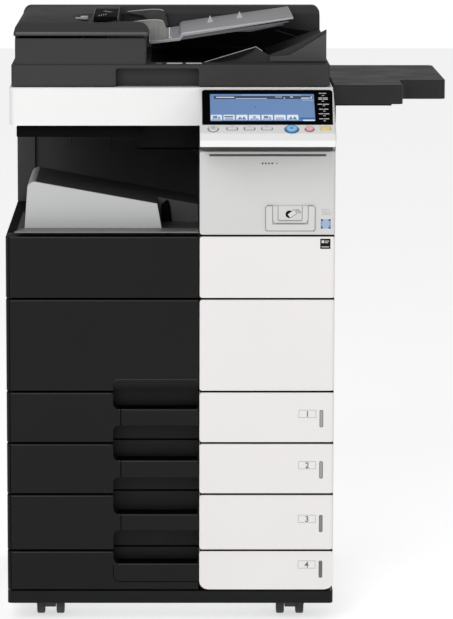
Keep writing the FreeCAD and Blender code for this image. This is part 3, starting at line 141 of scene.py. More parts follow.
def mixed(tree, factor, first, second, kind="MIX"):
    node = tree.nodes.new("ShaderNodeMix")
    node.data_type = "RGBA"
    node.blend_type = kind
    if isinstance(factor, float):
        node.inputs["Factor"].default_value = factor
    else:
        tree.links.new(factor, node.inputs["Factor"])
    for socket, value in (("A", first), ("B", second)):
        target = [s for s in node.inputs if s.name == socket and s.type == "RGBA"][0]
        if isinstance(value, tuple):
            target.default_value = (*value, 1)
        else:
            tree.links.new(value, target)
    return [s for s in node.outputs if s.type == "RGBA"][0]


def bump(tree, shader, height, strength, distance, before=None):
    node = tree.nodes.new("ShaderNodeBump")
    node.inputs["Strength"].default_value = strength
    node.inputs["Distance"].default_value = distance
    tree.links.new(height, node.inputs["Height"])
    if before is not None:
        tree.links.new(before, node.inputs["Normal"])
    tree.links.new(node.outputs["Normal"], shader.inputs["Normal"])
    return node.outputs["Normal"]


def shade(colour, share):
    return tuple(min(1.0, max(0.0, channel * share)) for channel in colour)


def moulded(name, colour, rough=0.5, grain=0.12, grain_size=0.0009, wear=0.06, scuff=0.0, shine=0.5):
    """Moulded plastic: a fine spark-eroded grain, a slow change of tone, and handling marks."""
    material, tree, shader = node_material(name, colour, rough)
    shader.inputs["Specular IOR Level"].default_value = shine
    place = coordinates(tree)
    slow = noise(tree, place, 4.0, 4.0)
    tone = ramp(tree, slow, [(0.3, shade(colour, 1 - wear)), (0.7, shade(colour, 1 + wear))])
    if scuff:
        streaks = noise(tree, coordinates(tree, (1.5, 1.5, 14)), 22.0, 8.0, 0.7)
        rubbed = ramp(tree, streaks, [(0.60, (0, 0, 0)), (0.72, (scuff, scuff, scuff))])
        tone = mixed(tree, 1.0, tone, rubbed, "ADD")
    tree.links.new(tone, shader.inputs["Base Color"])
    touched = noise(tree, place, 14.0, 6.0, 0.6)
    tree.links.new(level(tree, touched, rough - 0.07, rough + 0.07), shader.inputs["Roughness"])
    fine = noise(tree, place, 1 / grain_size, 2.0, 0.6)
    bump(tree, shader, fine, grain, 0.0002)
    return material


def sheet_metal(name, colour, rough=0.35):
    """Zinc-plated sheet: a faint rolling direction and cloudy spangle."""
    material, tree, shader = node_material(name, colour, rough, 0.9)
    cells = tree.nodes.new("ShaderNodeTexVoronoi")
    cells.inputs["Scale"].default_value = 60
    tree.links.new(coordinates(tree), cells.inputs["Vector"])
    tone = ramp(tree, cells.outputs["Distance"], [(0.0, shade(colour, 0.85)), (0.8, shade(colour, 1.12))])
    tree.links.new(tone, shader.inputs["Base Color"])
    rolled = noise(tree, coordinates(tree, (1, 1, 30)), 60.0, 4.0)
    tree.links.new(level(tree, rolled, rough - 0.08, rough + 0.1), shader.inputs["Roughness"])
    bump(tree, shader, rolled, 0.05, 0.0002)
    return material


def rubber(name, colour):
    material, tree, shader = node_material(name, colour, 0.7)
    place = coordinates(tree)
    dust = noise(tree, place, 45.0, 6.0, 0.65)
    tone = ramp(tree, dust, [(0.45, colour), (0.75, tuple(c + 0.045 for c in colour))])
    tree.links.new(tone, shader.inputs["Base Color"])
    tree.links.new(level(tree, dust, 0.6, 0.85), shader.inputs["Roughness"])
    bump(tree, shader, noise(tree, place, 900.0), 0.15, 0.0003)
    return material


def glossy(name, colour, rough=0.12, coat=0.4, smear=0.06):
    """A polished plastic or glass face with finger smears in its gloss."""
    material, tree, shader = node_material(name, colour, rough)
    shader.inputs["Coat Weight"].default_value = coat
    shader.inputs["Coat Roughness"].default_value = 0.05
    smears = noise(tree, coordinates(tree), 25.0, 7.0, 0.7)
    tree.links.new(level(tree, smears, rough, rough + smear), shader.inputs["Roughness"])
    tone = ramp(tree, smears, [(0.35, colour), (0.8, tuple(min(1, c * 1.06 + 0.002) for c in colour))])
    tree.links.new(tone, shader.inputs["Base Color"])
    bump(tree, shader, noise(tree, coordinates(tree), 6.0), 0.02, 0.0004)
    return material


def lit(name, colour, strength):
    """A backlit display area, with the fine rows of its pixels."""
    material, tree, shader = node_material(name, shade(colour, 0.3), 0.2)
    rows = tree.nodes.new("ShaderNodeTexWave")
    rows.bands_direction = "X"
    rows.inputs["Scale"].default_value = 900
    tree.links.new(coordinates(tree), rows.inputs["Vector"])
    glow = ramp(tree, rows.outputs["Fac"], [(0.0, shade(colour, 0.94)), (1.0, shade(colour, 1.03))])
    tree.links.new(glow, shader.inputs["Emission Color"])
    shader.inputs["Emission Strength"].default_value = strength
    return material


def clear_glass(name):
    material, tree, shader = node_material(name, (0.86, 0.93, 0.91), 0.02)
    shader.inputs["Transmission Weight"].default_value = 0.9
    shader.inputs["IOR"].default_value = 1.5
    smears = noise(tree, coordinates(tree), 18.0, 6.0, 0.7)
    tree.links.new(level(tree, smears, 0.01, 0.05), shader.inputs["Roughness"])
    return material


BLACK = moulded("black_cover_plastic", (0.0068, 0.0068, 0.0072), 0.42, scuff=0.0015, shine=0.15)
WHITE = moulded("white_cover_plastic", (0.775, 0.755, 0.745), 0.5, wear=0.012, shine=0.35)
SHELL_WHITE = moulded("scanner_white_plastic", (0.80, 0.80, 0.795), 0.45, wear=0.012)
LIGHT_GREY = moulded("light_grey_plastic", (0.60, 0.60, 0.59), 0.48, wear=0.02)
TRAY_GREY = moulded("tray_face_plastic", (0.51, 0.515, 0.52), 0.5, wear=0.02)
BAY_DARK = moulded("exit_bay_plastic", (0.03, 0.03, 0.032), 0.55)
TRAY_DARK = moulded("exit_tray_plastic", (0.062, 0.062, 0.064), 0.5)
FEEDER = moulded("feeder_plastic", (0.045, 0.045, 0.046), 0.5, scuff=0.003, shine=0.08)
DOCUMENT_GREY = moulded("document_tray_plastic", (0.34, 0.34, 0.36), 0.5, shine=0.3)
GUIDE_GREY = moulded("guide_plastic", (0.215, 0.21, 0.195), 0.45)
PAD_WHITE = moulded("platen_sheet", (0.86, 0.86, 0.85), 0.4, grain=0.03)
TABLE_BLACK = moulded("table_plastic", (0.0175, 0.0175, 0.018), 0.42, scuff=0.003, shine=0.2)
NYLON = moulded("caster_nylon", (0.016, 0.016, 0.017), 0.4, grain=0.05)
CARRIAGE = moulded("carriage_plastic", (0.03, 0.03, 0.03), 0.6)
TONER = moulded("toner_plastic", (0.055, 0.055, 0.06), 0.4)
STEEL = sheet_metal("frame_sheet", (0.50, 0.51, 0.53))
UNIT_METAL = sheet_metal("unit_sheet", (0.56, 0.56, 0.55), 0.3)
TYRE = rubber("caster_tread", (0.02, 0.02, 0.02))
DRUM = glossy("drum_coating", (0.02, 0.16, 0.13), 0.08, 0.9)
SCREEN = glossy("screen_glass", (0.01, 0.012, 0.018), 0.06, 0.8)
BEZEL = moulded("panel_bezel_black", (0.0008, 0.0008, 0.0012), 0.4, grain=0.02, shine=0.01)
KEY_WHITE = glossy("key_white", (0.70, 0.70, 0.70), 0.3, 0.2)
KEY_BLUE = glossy("key_start_blue", (0.05, 0.22, 0.55), 0.25, 0.4)
KEY_PINK = glossy("key_stop_pink", (0.72, 0.30, 0.33), 0.28, 0.3)
KEY_YELLOW = glossy("key_reset_yellow", (0.80, 0.60, 0.16), 0.28, 0.3)
GLASS = clear_glass("platen_glass_clear")

NODE_MATERIALS = {
    BLACK: ["drawer_1", "drawer_2", "drawer_3", "drawer_4", "lower_door", "upper_door", "base_cover",
            "left_cover"],
    WHITE: ["drawer_panel_1", "drawer_panel_2", "drawer_panel_3", "drawer_panel_4", "lower_door_panel",
            "upper_door_panel", "right_cover", "rear_cover", "right_door", "bypass_tray"],
    SHELL_WHITE: ["scanner_housing", "panel_housing"],
    LIGHT_GREY: ["front_right_cover", "card_reader_pad"],
    TRAY_GREY: ["exit_tray_face"],
    BAY_DARK: ["exit_bay_liner", "panel_bracket"],
    TRAY_DARK: ["exit_tray"],
    FEEDER: ["feeder_base", "feed_housing", "feeder_lid", "feeder_rear_cover"],
    DOCUMENT_GREY: ["document_tray"],
    GUIDE_GREY: ["document_guide_front", "document_guide_rear"],
    PAD_WHITE: ["platen_pad"],
    TABLE_BLACK: ["work_table"],
    NYLON: [n for n in NODES if n.startswith("caster_fork")],
    TYRE: [n for n in NODES if n.startswith("caster_wheels")],
    CARRIAGE: ["scan_carriage"],
    TONER: ["toner_cartridge"],
    STEEL: ["cabinet_frame", "main_frame", "feeder_hinges"],
    UNIT_METAL: ["fuser_unit", "power_unit"],
    DRUM: ["photoconductor_drum"],
    SCREEN: ["touch_screen"],
    KEY_WHITE: ["power_key", "register_key_1", "register_key_2", "register_key_3"],
    KEY_BLUE: ["start_key"],
    KEY_PINK: ["stop_key"],
    KEY_YELLOW: ["reset_key"],
    GLASS: ["platen_glass"],
}

for material, names in NODE_MATERIALS.items():
    for name in names:
        slots = NODES[name].material_slots
        if not slots:
            NODES[name].data.materials.append(material)
        for slot in slots:
            slot.material = material


# ------------------------------------------------------------------ mesh building
def bevel_edges(mesh, edges, width, segments):
    bmesh.ops.bevel(mesh, geom=edges, offset=width, segments=segments, profile=0.5, affect="EDGES")


def box_mesh(x, y, z, bevel=0.0, segments=2):
    mesh = bmesh.new()
    bmesh.ops.create_cube(mesh, size=1)
    size = Vector((x[1] - x[0], y[1] - y[0], z[1] - z[0]))
    centre = Vector((x[0] + x[1], y[0] + y[1], z[0] + z[1])) / 2
    place = Matrix.Translation(centre) @ Matrix.Diagonal((*size, 1))
    bmesh.ops.transform(mesh, matrix=place, verts=mesh.verts)
    if bevel:
        bevel_edges(mesh, mesh.edges[:], bevel, segments)
    return mesh


TIP = 0.01          # the radius at which a turned shape closes
AXES = {
    "x": Matrix(((0, 0, 1, 0), (1, 0, 0, 0), (0, 1, 0, 0), (0, 0, 0, 1))),
    "y": Matrix(((1, 0, 0, 0), (0, 0, 1, 0), (0, 1, 0, 0), (0, 0, 0, 1))),
    "z": Matrix.Identity(4),
}


def prism_mesh(outline, axis, low, high, bevel=0.0, segments=2):
    """An outline carried along x, y or z. It is given in the other two axes, in that order."""
    mesh = bmesh.new()
    ends = []
    for place in (low, high):
        ends.append([mesh.verts.new((a, b, place)) for a, b in outline])
    mesh.faces.new(ends[0][::-1])
    mesh.faces.new(ends[1])
    count = len(outline)
    for i in range(count):
        j = (i + 1) % count
        mesh.faces.new((ends[0][i], ends[0][j], ends[1][j], ends[1][i]))
    if bevel:
        rim = [edge for edge in mesh.edges if abs(edge.verts[0].co.z - edge.verts[1].co.z) < 1e-6]
        bevel_edges(mesh, rim, bevel, segments)
    bmesh.ops.transform(mesh, matrix=AXES[axis], verts=mesh.verts)
    bmesh.ops.recalc_face_normals(mesh, faces=mesh.faces)
    return mesh


def lathe_mesh(profile, axis, at, segments=48):
    """A profile of (radius, place along the axis) pairs turned about an axis through at."""
    mesh = bmesh.new()
    rings = []
    for radius, place in profile:
        ring = []
        for step in range(segments):
            angle = 2 * math.pi * step / segments
            ring.append(mesh.verts.new((radius * math.cos(angle), radius * math.sin(angle), place)))
        rings.append(ring)
    for first, second in zip(rings, rings[1:]):
        for step in range(segments):
            after = (step + 1) % segments
            mesh.faces.new((first[step], first[after], second[after], second[step]))
    mesh.faces.new(rings[0][::-1])
    mesh.faces.new(rings[-1])
    bmesh.ops.remove_doubles(mesh, verts=mesh.verts, dist=1e-5)
    bmesh.ops.transform(mesh, matrix=AXES[axis], verts=mesh.verts)
    bmesh.ops.translate(mesh, vec=Vector(at), verts=mesh.verts)
    bmesh.ops.recalc_face_normals(mesh, faces=mesh.faces)
    return mesh


def rounded(x, y, radius, steps=6):
    """A rectangle's outline with round corners."""
    points = []
    left, right, low, high = x[0] + radius, x[1] - radius, y[0] + radius, y[1] - radius
    for centre, start in (((right, low), -90), ((right, high), 0), ((left, high), 90), ((left, low), 180)):
        for step in range(steps + 1):
            angle = math.radians(start + 90 * step / steps)
            points.append((centre[0] + radius * math.cos(angle), centre[1] + radius * math.sin(angle)))
    return points


def circle(x, y, radius, steps=40):
    return [(x + radius * math.cos(2 * math.pi * i / steps), y + radius * math.sin(2 * math.pi * i / steps))
            for i in range(steps)]


def curve_to_mesh(curve):
    """The filled and extruded mesh of a curve, which is then deleted."""
    holder = bpy.data.objects.new(curve.name, curve)
    bpy.context.scene.collection.objects.link(holder)
    flat = bpy.data.meshes.new_from_object(holder.evaluated_get(bpy.context.evaluated_depsgraph_get()))
    mesh = bmesh.new()
    mesh.from_mesh(flat)
    bpy.data.objects.remove(holder)
    bpy.data.curves.remove(curve)
    bpy.data.meshes.remove(flat)
    return mesh


def holed_mesh(outline, holes, low, high):
    """A flat plate on the frame's z, from low to high, with holes through it."""
    curve = bpy.data.curves.new("plate", "CURVE")
    curve.dimensions = "2D"
    curve.fill_mode = "BOTH"
    curve.extrude = (high - low) / 2
    for points in [outline] + holes:
        spline = curve.splines.new("POLY")
        spline.points.add(len(points) - 1)
        for point, (a, b) in zip(spline.points, points):
            point.co = (a, b, 0, 1)
        spline.use_cyclic_u = True
    mesh = curve_to_mesh(curve)
    bmesh.ops.translate(mesh, vec=(0, 0, (low + high) / 2), verts=mesh.verts)
    bmesh.ops.remove_doubles(mesh, verts=mesh.verts, dist=1e-4)
    return mesh


class Piece:
    """One visible piece: all its parts have one material and ride on one body."""

    def __init__(self, name, body, material, slot, space=MACHINE):
        self.name = name
        self.body = body
        self.material = material
        self.slot = slot
        self.space = space
        self.mesh = bmesh.new()

    def add(self, part):
        shape = bpy.data.meshes.new("part")
        part.to_mesh(shape)
        part.free()
        self.mesh.from_mesh(shape)
        bpy.data.meshes.remove(shape)
        return self

    def box(self, x, y, z, bevel=0.0, segments=2):
        return self.add(box_mesh(x, y, z, bevel, segments))

    def prism(self, outline, axis, low, high, bevel=0.0, segments=2):
        return self.add(prism_mesh(outline, axis, low, high, bevel, segments))

    def lathe(self, profile, axis, at, segments=48):
        return self.add(lathe_mesh(profile, axis, at, segments))

    def holed(self, outline, holes, low, high):
        return self.add(holed_mesh(outline, holes, low, high))

    def done(self, smooth_angle=35):
        bmesh.ops.transform(self.mesh, matrix=self.space, verts=self.mesh.verts)
        shape = bpy.data.meshes.new(self.name)
        self.mesh.to_mesh(shape)
        self.mesh.free()
        shape.materials.append(self.material)
        thing = bpy.data.objects.new(self.name, shape)
        bpy.context.scene.collection.objects.link(thing)
        for polygon in shape.polygons:
            polygon.use_smooth = True
        shape.set_sharp_from_angle(angle=math.radians(smooth_angle))
        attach(thing, self.body)
        return thing


# ------------------------------------------------------------------ shapes used more than once
GRAPHIC = 0.25      # how far printed and inlaid marks stand proud
FACE_GAP = 0.05     # keeps an added piece just off the face that it lies on
FLAT = (-GRAPHIC, FACE_GAP)                 # a mark on a front face, from front to back
DIGIT_SHARE = 0.7    # a digit's height over the font's size
STROKE_GROWTH = 0.22
OVER_FLAT = (-GRAPHIC * 1.5, -GRAPHIC / 2)  # a mark on top of such a mark
LINE_FLAT = (-GRAPHIC * 1.6, -GRAPHIC / 2)


def numeral_mesh(text, height, x, z, y_front):
    """A numeral standing in the XZ plane, centred at x and z and facing the front."""
    curve = bpy.data.curves.new("numeral", "FONT")
    curve.body = text
    curve.size = height / DIGIT_SHARE
    curve.extrude = GRAPHIC / 2
    curve.offset = STROKE_GROWTH
    curve.align_x = "CENTER"
    mesh = curve_to_mesh(curve)
    upright = Matrix.Translation((x, y_front, z - height / 2)) @ Matrix.Rotation(math.radians(90), 4, "X")
    bmesh.ops.transform(mesh, matrix=upright, verts=mesh.verts)
    return mesh


def frame_mesh(x, z, width, y):
    """A flat rectangular ring in the XZ plane, between two places in y."""
    outer = [(x[0], z[0]), (x[1], z[0]), (x[1], z[1]), (x[0], z[1])]
    inner = [(x[0] + width, z[0] + width), (x[1] - width, z[0] + width),
             (x[1] - width, z[1] - width), (x[0] + width, z[1] - width)]
    return ring_mesh(outer, inner, "y", *y)


def ring_mesh(outer, inner, axis, low, high):
    """The space between two outlines with as many points, carried along an axis."""
    mesh = bmesh.new()
    loops = []
    for outline, place in ((outer, low), (outer, high), (inner, high), (inner, low)):
        loops.append([mesh.verts.new((a, b, place)) for a, b in outline])
    count = len(outer)
    for first, second in zip(loops, loops[1:] + loops[:1]):
        for i in range(count):
            j = (i + 1) % count
            mesh.faces.new((first[i], first[j], second[j], second[i]))
    bmesh.ops.transform(mesh, matrix=AXES[axis], verts=mesh.verts)
    bmesh.ops.recalc_face_normals(mesh, faces=mesh.faces)
    return mesh


MARK_GREY = moulded("mark_grey", (0.13, 0.125, 0.125), 0.5, grain=0.03)
MARK_FAINT = moulded("mark_faint", (0.36, 0.355, 0.35), 0.5, grain=0.03)
MARK_WHITE = moulded("mark_white", (0.62, 0.62, 0.62), 0.5, grain=0.03)
# Near-black for real grooves, slots and seams, and for painted shade in gaps and recesses.
GROOVE_AND_SHADE = moulded("groove_shade", (0.0016, 0.0016, 0.0016), 0.9, grain=0.05, shine=0.02)
SOFT_GROOVE = moulded("soft_groove", (0.12, 0.115, 0.11), 0.7, grain=0.05)
WINDOW = glossy("level_window", (0.14, 0.135, 0.135), 0.2, 0.3)
WINDOW_FILLS = {n: glossy("level_paper_%d" % n, (tone, tone, tone), 0.3, 0.2)
                for n, tone in ((1, 0.30), (2, 0.29), (3, 0.18), (4, 0.10))}
# Matt black for small dark parts, and for painted shade on the output ramp and behind the output tray.
MATT_BLACK_AND_SHADE = moulded("matt_black_plastic", (0.004, 0.004, 0.0045), 0.6, shine=0.12)
# Painted highlight: a lighter black for thin strips along the lit edges of the black fronts.
BLACK_EDGE_HIGHLIGHT = moulded("black_cover_edge_highlight", (0.03, 0.03, 0.031), 0.4, shine=0.4)
EXIT_UNIT_DARK = moulded("exit_unit_plastic", (0.0052, 0.0052, 0.0055), 0.6, shine=0.08)
# Near-black for the lid's entry plate, and for painted shade and shadow in the exit bay and on the output
# ramp.
DEEP_BLACK_AND_SHADE = moulded("deep_black_and_shade", (0.0028, 0.0028, 0.003), 0.7, shine=0.05)
ROLLER = rubber("feed_roller", (0.06, 0.06, 0.062))
STICKER_BLUE = moulded("sticker_blue", (0.28, 0.42, 0.58), 0.4, grain=0.02)
STICKER_VIOLET = moulded("sticker_violet", (0.16, 0.05, 0.22), 0.4, grain=0.02)
LCD_BLUE = lit("lcd_blue", (0.145, 0.27, 0.53), 0.62)
LCD_LIGHT = lit("lcd_light", (0.30, 0.45, 0.72), 0.7)
LCD_PALE = lit("lcd_pale", (0.62, 0.72, 0.86), 0.75)
LCD_WHITE = lit("lcd_white", (0.70, 0.78, 0.88), 0.75)
LCD_DARK = lit("lcd_dark", (0.02, 0.035, 0.075), 0.9)
LCD_DEEP = lit("lcd_deep", (0.02, 0.10, 0.36), 0.9)
LCD_ICON = lit("lcd_icon", (0.16, 0.23, 0.38), 0.7)
LCD_LABEL = lit("lcd_label", (0.045, 0.075, 0.15), 0.6)
START_FACE = glossy("start_face", (0.22, 0.56, 0.86), 0.2, 0.5)
STOP_FACE = glossy("stop_face", (0.86, 0.50, 0.53), 0.25, 0.4)
RESET_FACE = glossy("reset_face", (0.86, 0.70, 0.22), 0.25, 0.4)
# Painted shade lines along steps and gaps, also used for real seams.
SHADOW_LINE_GREY = moulded("shadow_line_grey", (0.17, 0.17, 0.17), 0.7, grain=0.02, shine=0.1)
LID_HIGHLIGHT_GREY = moulded("lid_painted_highlight", (0.085, 0.085, 0.086), 0.4, shine=0.3)
# Pale grey for the lid lever and marks, and for painted highlights on the guides and the output ramp.
PALE_GREY_AND_HIGHLIGHT = moulded("pale_grey_and_highlight", (0.42, 0.42, 0.43), 0.35)
APRON_GREY = moulded("tray_apron_plastic", (0.21, 0.207, 0.205), 0.5, shine=0.3)
WALL_LIT_GREY = moulded("output_wall_lit_face", (0.075, 0.074, 0.073), 0.5, shine=0.2)
TRAY_EDGE_HIGHLIGHT = moulded("tray_edge_highlight", (0.42, 0.42, 0.44), 0.35)
# Painted shade under the document tray, and dark grey lines on the lid and the feeder's rear wall.
SHADE_AND_LINE_GREY = moulded("tray_underside_shade", (0.09, 0.09, 0.095), 0.45)
# Painted shade: a darker copy of the guide plastic, for the rear guide.
GUIDE_SHADED = moulded("rear_guide_painted_shade", (0.03, 0.03, 0.03), 0.5)


# ------------------------------------------------------------------ drawers
DRAWER_LOW = {}
DRAWER_HIGH = {}
for number in range(1, 5):
    DRAWER_LOW[number], DRAWER_HIGH[number] = node_box("drawer_panel_%d" % number)
LABEL_DROP = {1: 33, 2: 33, 3: 38, 4: 18}
LABEL_X = (241, 274)
LABEL_HEIGHT = 15
WINDOW_X = (280.2, 287.2)
WINDOW_HEIGHT = 33


def make_drawer_marks(number):
    body = "drawer_%d" % number
    top = DRAWER_HIGH[number].z - LABEL_DROP[number]
    low = top - LABEL_HEIGHT
    label = Piece("tray_label_%d" % number, body, MARK_FAINT, "white_cover")
    label.add(frame_mesh(LABEL_X, (low, top), 0.8, FLAT))
    label.done()
    numeral = Piece("tray_numeral_%d" % number, body, MARK_GREY, "white_cover")
    numeral.add(numeral_mesh(str(number), 11, sum(LABEL_X) / 2, (low + top) / 2, -GRAPHIC / 2))
    numeral.done()
    base = top - WINDOW_HEIGHT
    frame_piece = Piece("level_frame_%d" % number, body, WINDOW, "bay_plastic")
    frame_piece.prism(rounded(WINDOW_X, (base, top), 2.4), "y", *FLAT)
    frame_piece.done()
    window = Piece("level_window_%d" % number, body, WINDOW_FILLS[number], "light_grey_cover")
    edge = 1.2
    window.prism(rounded((WINDOW_X[0] + edge, WINDOW_X[1] - edge), (base + edge, top - edge), 1.2), "y",
                 *OVER_FLAT)
    window.done()


SEAM_X = -93


def make_grip_details(number):
    """The seam beside the grip bar, or on the lowest drawer a dark line round its grip recess."""
    body = "drawer_%d" % number
    low, high = node_box("drawer_%d" % number)
    reach = {1: (33, 33), 2: (33, 32), 3: (38, 38), 4: (25, 0)}[number]
    top = high.z - reach[0] + 1.4
    base = low.z + reach[1] - 1.4
    if number == 4:
        base = low.z + 14.5
        line = Piece("grip_outline", body, GROOVE_AND_SHADE, "black_cover")
        left, right, bend, width = -108, 53, 12, 1.3
        outer = [(left, top - 3)]
        inner = [(left + width, top - 3)]
        for step in range(7):
            angle = math.radians(180 + 15 * step)
            for edge, radius in ((outer, bend), (inner, bend - width)):
                edge.append((left + bend + radius * math.cos(angle), base + bend + radius * math.sin(angle)))
        outer += [(right, base)]
        inner += [(right, base + width)]
        line.prism(outer + inner[::-1], "y", *FLAT)
        line.done()
        return
    line = Piece("grip_seam_%d" % number, body, GROOVE_AND_SHADE, "black_cover")
    line.box((SEAM_X - 0.9, SEAM_X + 0.9), FLAT, (base, top))
    line.done()


def make_front_edges():
    """Painted highlights along the top edges of the black fronts, and the seam of the side cover beside them.
    """
    fronts = [(node, 50, node_box(node)) for node in ("upper_door", "lower_door")]
    fronts += [("drawer_%d" % n, -112, (DRAWER_LOW[n], DRAWER_HIGH[n])) for n in range(1, 5)]
    for node, right, (low, high) in fronts:
        edge = Piece("edge_highlight_" + node, node, BLACK_EDGE_HIGHLIGHT, "black_cover")
        edge.box((-299, right), FLAT, (high.z - 2.4, high.z - 1.4), 0.1)
        edge.done()
        seam = Piece("side_seam_" + node, node, GROOVE_AND_SHADE, "black_cover")
        seam.box((-301.6, -300.2), FLAT, (low.z + 1.5, high.z - 1.5))
        seam.done()


def make_drawer_inside(number):
    """The lift plate, the sheet guides and the rear stop inside a drawer."""
    body = "drawer_%d" % number
    panel_low, panel_high = DRAWER_LOW[number], DRAWER_HIGH[number]
    floor = panel_low.z + 11
    top = panel_high.z - 11
    plate = Piece("lift_plate_%d" % number, body, UNIT_METAL, "unit_metal")
    plate.box((-262, 120), (60, 440), (floor, floor + 2.5), 1)
    for x in (-200, -120, -40, 40):
        plate.box((x, x + 30), (80, 420), (floor + 2.5, floor + 3.6), 0.8)
    plate.done()
    guides = Piece("paper_guides_%d" % number, body, TRAY_DARK, "bay_plastic")
    for y in (62, 420):
        guides.box((-150, -60), (y, y + 6), (floor + 3, top - 6), 1.5)
        guides.box((-125, -85), (y - 3, y + 9), (floor + 3, floor + 14), 1.5)
    guides.box((150, 156), (200, 290), (floor + 3, top - 6), 1.5)
    guides.done()
    pads = Piece("friction_pad_%d" % number, body, ROLLER, "caster_rubber")
    pads.box((-255, -235), (200, 300), (floor + 2.4, floor + 4), 0.5)
    pads.done()


for number in range(1, 5):
    make_drawer_marks(number)
    make_grip_details(number)
    make_drawer_inside(number)

make_front_edges()


def make_seam_shade_strips():
    """Painted shade: dark strips on the top and bottom edges of the white panels, which darken the seams."""
    fronts = [(body + "_panel", body) for body in ("upper_door", "lower_door")]
    fronts += [("drawer_panel_%d" % n, "drawer_%d" % n) for n in range(1, 5)]
    for node, body in fronts:
        low, high = node_box(node)
        strip = Piece("seam_shade_" + node, body, GROOVE_AND_SHADE, "black_cover")
        strip.box((low.x + 1, high.x - 1), (1.6, 14), (high.z + 0.05, high.z + 1.6))
        if node != "drawer_panel_4":
            strip.box((low.x + 1, high.x - 1), (1.6, 14), (low.z - 1.6, low.z - 0.05))
        strip.done()


def make_lowest_panel():
    """The white front of the lowest drawer, with both lower corners well rounded."""
    low, high = node_box("drawer_panel_4")
    radius, tight = 16, 4
    outline = []
    for x, z, r, start in ((high.x, low.z, radius, 270), (high.x, high.z, tight, 0),
                           (low.x, high.z, tight, 90), (low.x, low.z, radius, 180)):
        centre_x = x - r if x == high.x else x + r
        centre_z = z + r if z == low.z else z - r
        for step in range(9):
            angle = math.radians(start + 90 * step / 8)
            outline.append((centre_x + r * math.cos(angle), centre_z + r * math.sin(angle)))
    panel = Piece("drawer_panel_4_cover", "drawer_4", WHITE, "white_cover")
    panel.prism(outline, "y", low.y, high.y, 1.2, 3)
    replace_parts(panel.done(), "drawer_panel_4")


make_seam_shade_strips()
make_lowest_panel()

DOOR_LOW = node_box("lower_door")[0]
# A painted highlight along the top edge of the lower door's grip recess.
recess_highlight = Piece("door_grip_highlight", "lower_door", BLACK_EDGE_HIGHLIGHT, "black_cover")
arc = [(-107 + 10 - 10 * math.cos(math.radians(a)), DOOR_LOW.z + 11 + 10 * math.sin(math.radians(a)))
       for a in range(0, 91, 15)] + [(50, DOOR_LOW.z + 21)]
recess_highlight.prism([(a, b + 0.9) for a, b in arc] + arc[::-1], "y", *FLAT)
recess_highlight.done()

# Painted shade on the top face of each grip bar, where it faces up into the recess, and a painted highlight
# along the bar's front top edge.
for number, drop in ((1, 33), (2, 33), (3, 38), (4, 25)):
    grip_top = DRAWER_HIGH[number].z + 1.75 - drop
    ledge_shade = Piece("grip_ledge_%d" % number, "drawer_%d" % number, GROOVE_AND_SHADE, "black_cover")
    ledge_shade.box((-102, 50), (3, 39), (grip_top + 0.05, grip_top + 0.5), 0.1)
    ledge_shade.done()
    rim = Piece("grip_edge_%d" % number, "drawer_%d" % number, BLACK_EDGE_HIGHLIGHT, "black_cover")
    rim.box((-98, 50), FLAT, (grip_top - 2.2, grip_top - 1.2), 0.1)
    rim.done()

base_flange = Piece("base_flange", "cabinet", MATT_BLACK_AND_SHADE, "black_cover")
base_flange.box((-303, 303), (3.2, 60), (DRAWER_LOW[4].z - 4.5, DRAWER_LOW[4].z - 2.6), 0.4)
base_flange.done()

backing = Piece("lower_corner_backing", "drawer_4", BLACK, "black_cover")
backing.box((56, 300), (6, 42), (DRAWER_LOW[4].z + 0.3, DRAWER_LOW[4].z + 22), 1)
backing.done()

FRAME_FRONT_Y = node_box("cabinet_frame")[0].y
# Painted shade: dark strips on the frame's front, behind the gaps between the fronts.
for index, height in enumerate([DRAWER_LOW[4].z] + [DRAWER_HIGH[n].z for n in (4, 3, 2, 1)]):
    below = 1.8 if index == 0 else 2
    strip = Piece("shelf_edge_%d" % index, "cabinet", GROOVE_AND_SHADE, "black_cover")
    strip.box((-300, 300), (FRAME_FRONT_Y - 0.8, FRAME_FRONT_Y - 0.1), (height - below, height + 5.5), 0.2)
    strip.done()


# ------------------------------------------------------------------ front right cover and its doors
COVER_HIGH = node_box("front_right_cover")[1]
PAD_LOW, PAD_HIGH = node_box("card_reader_pad")


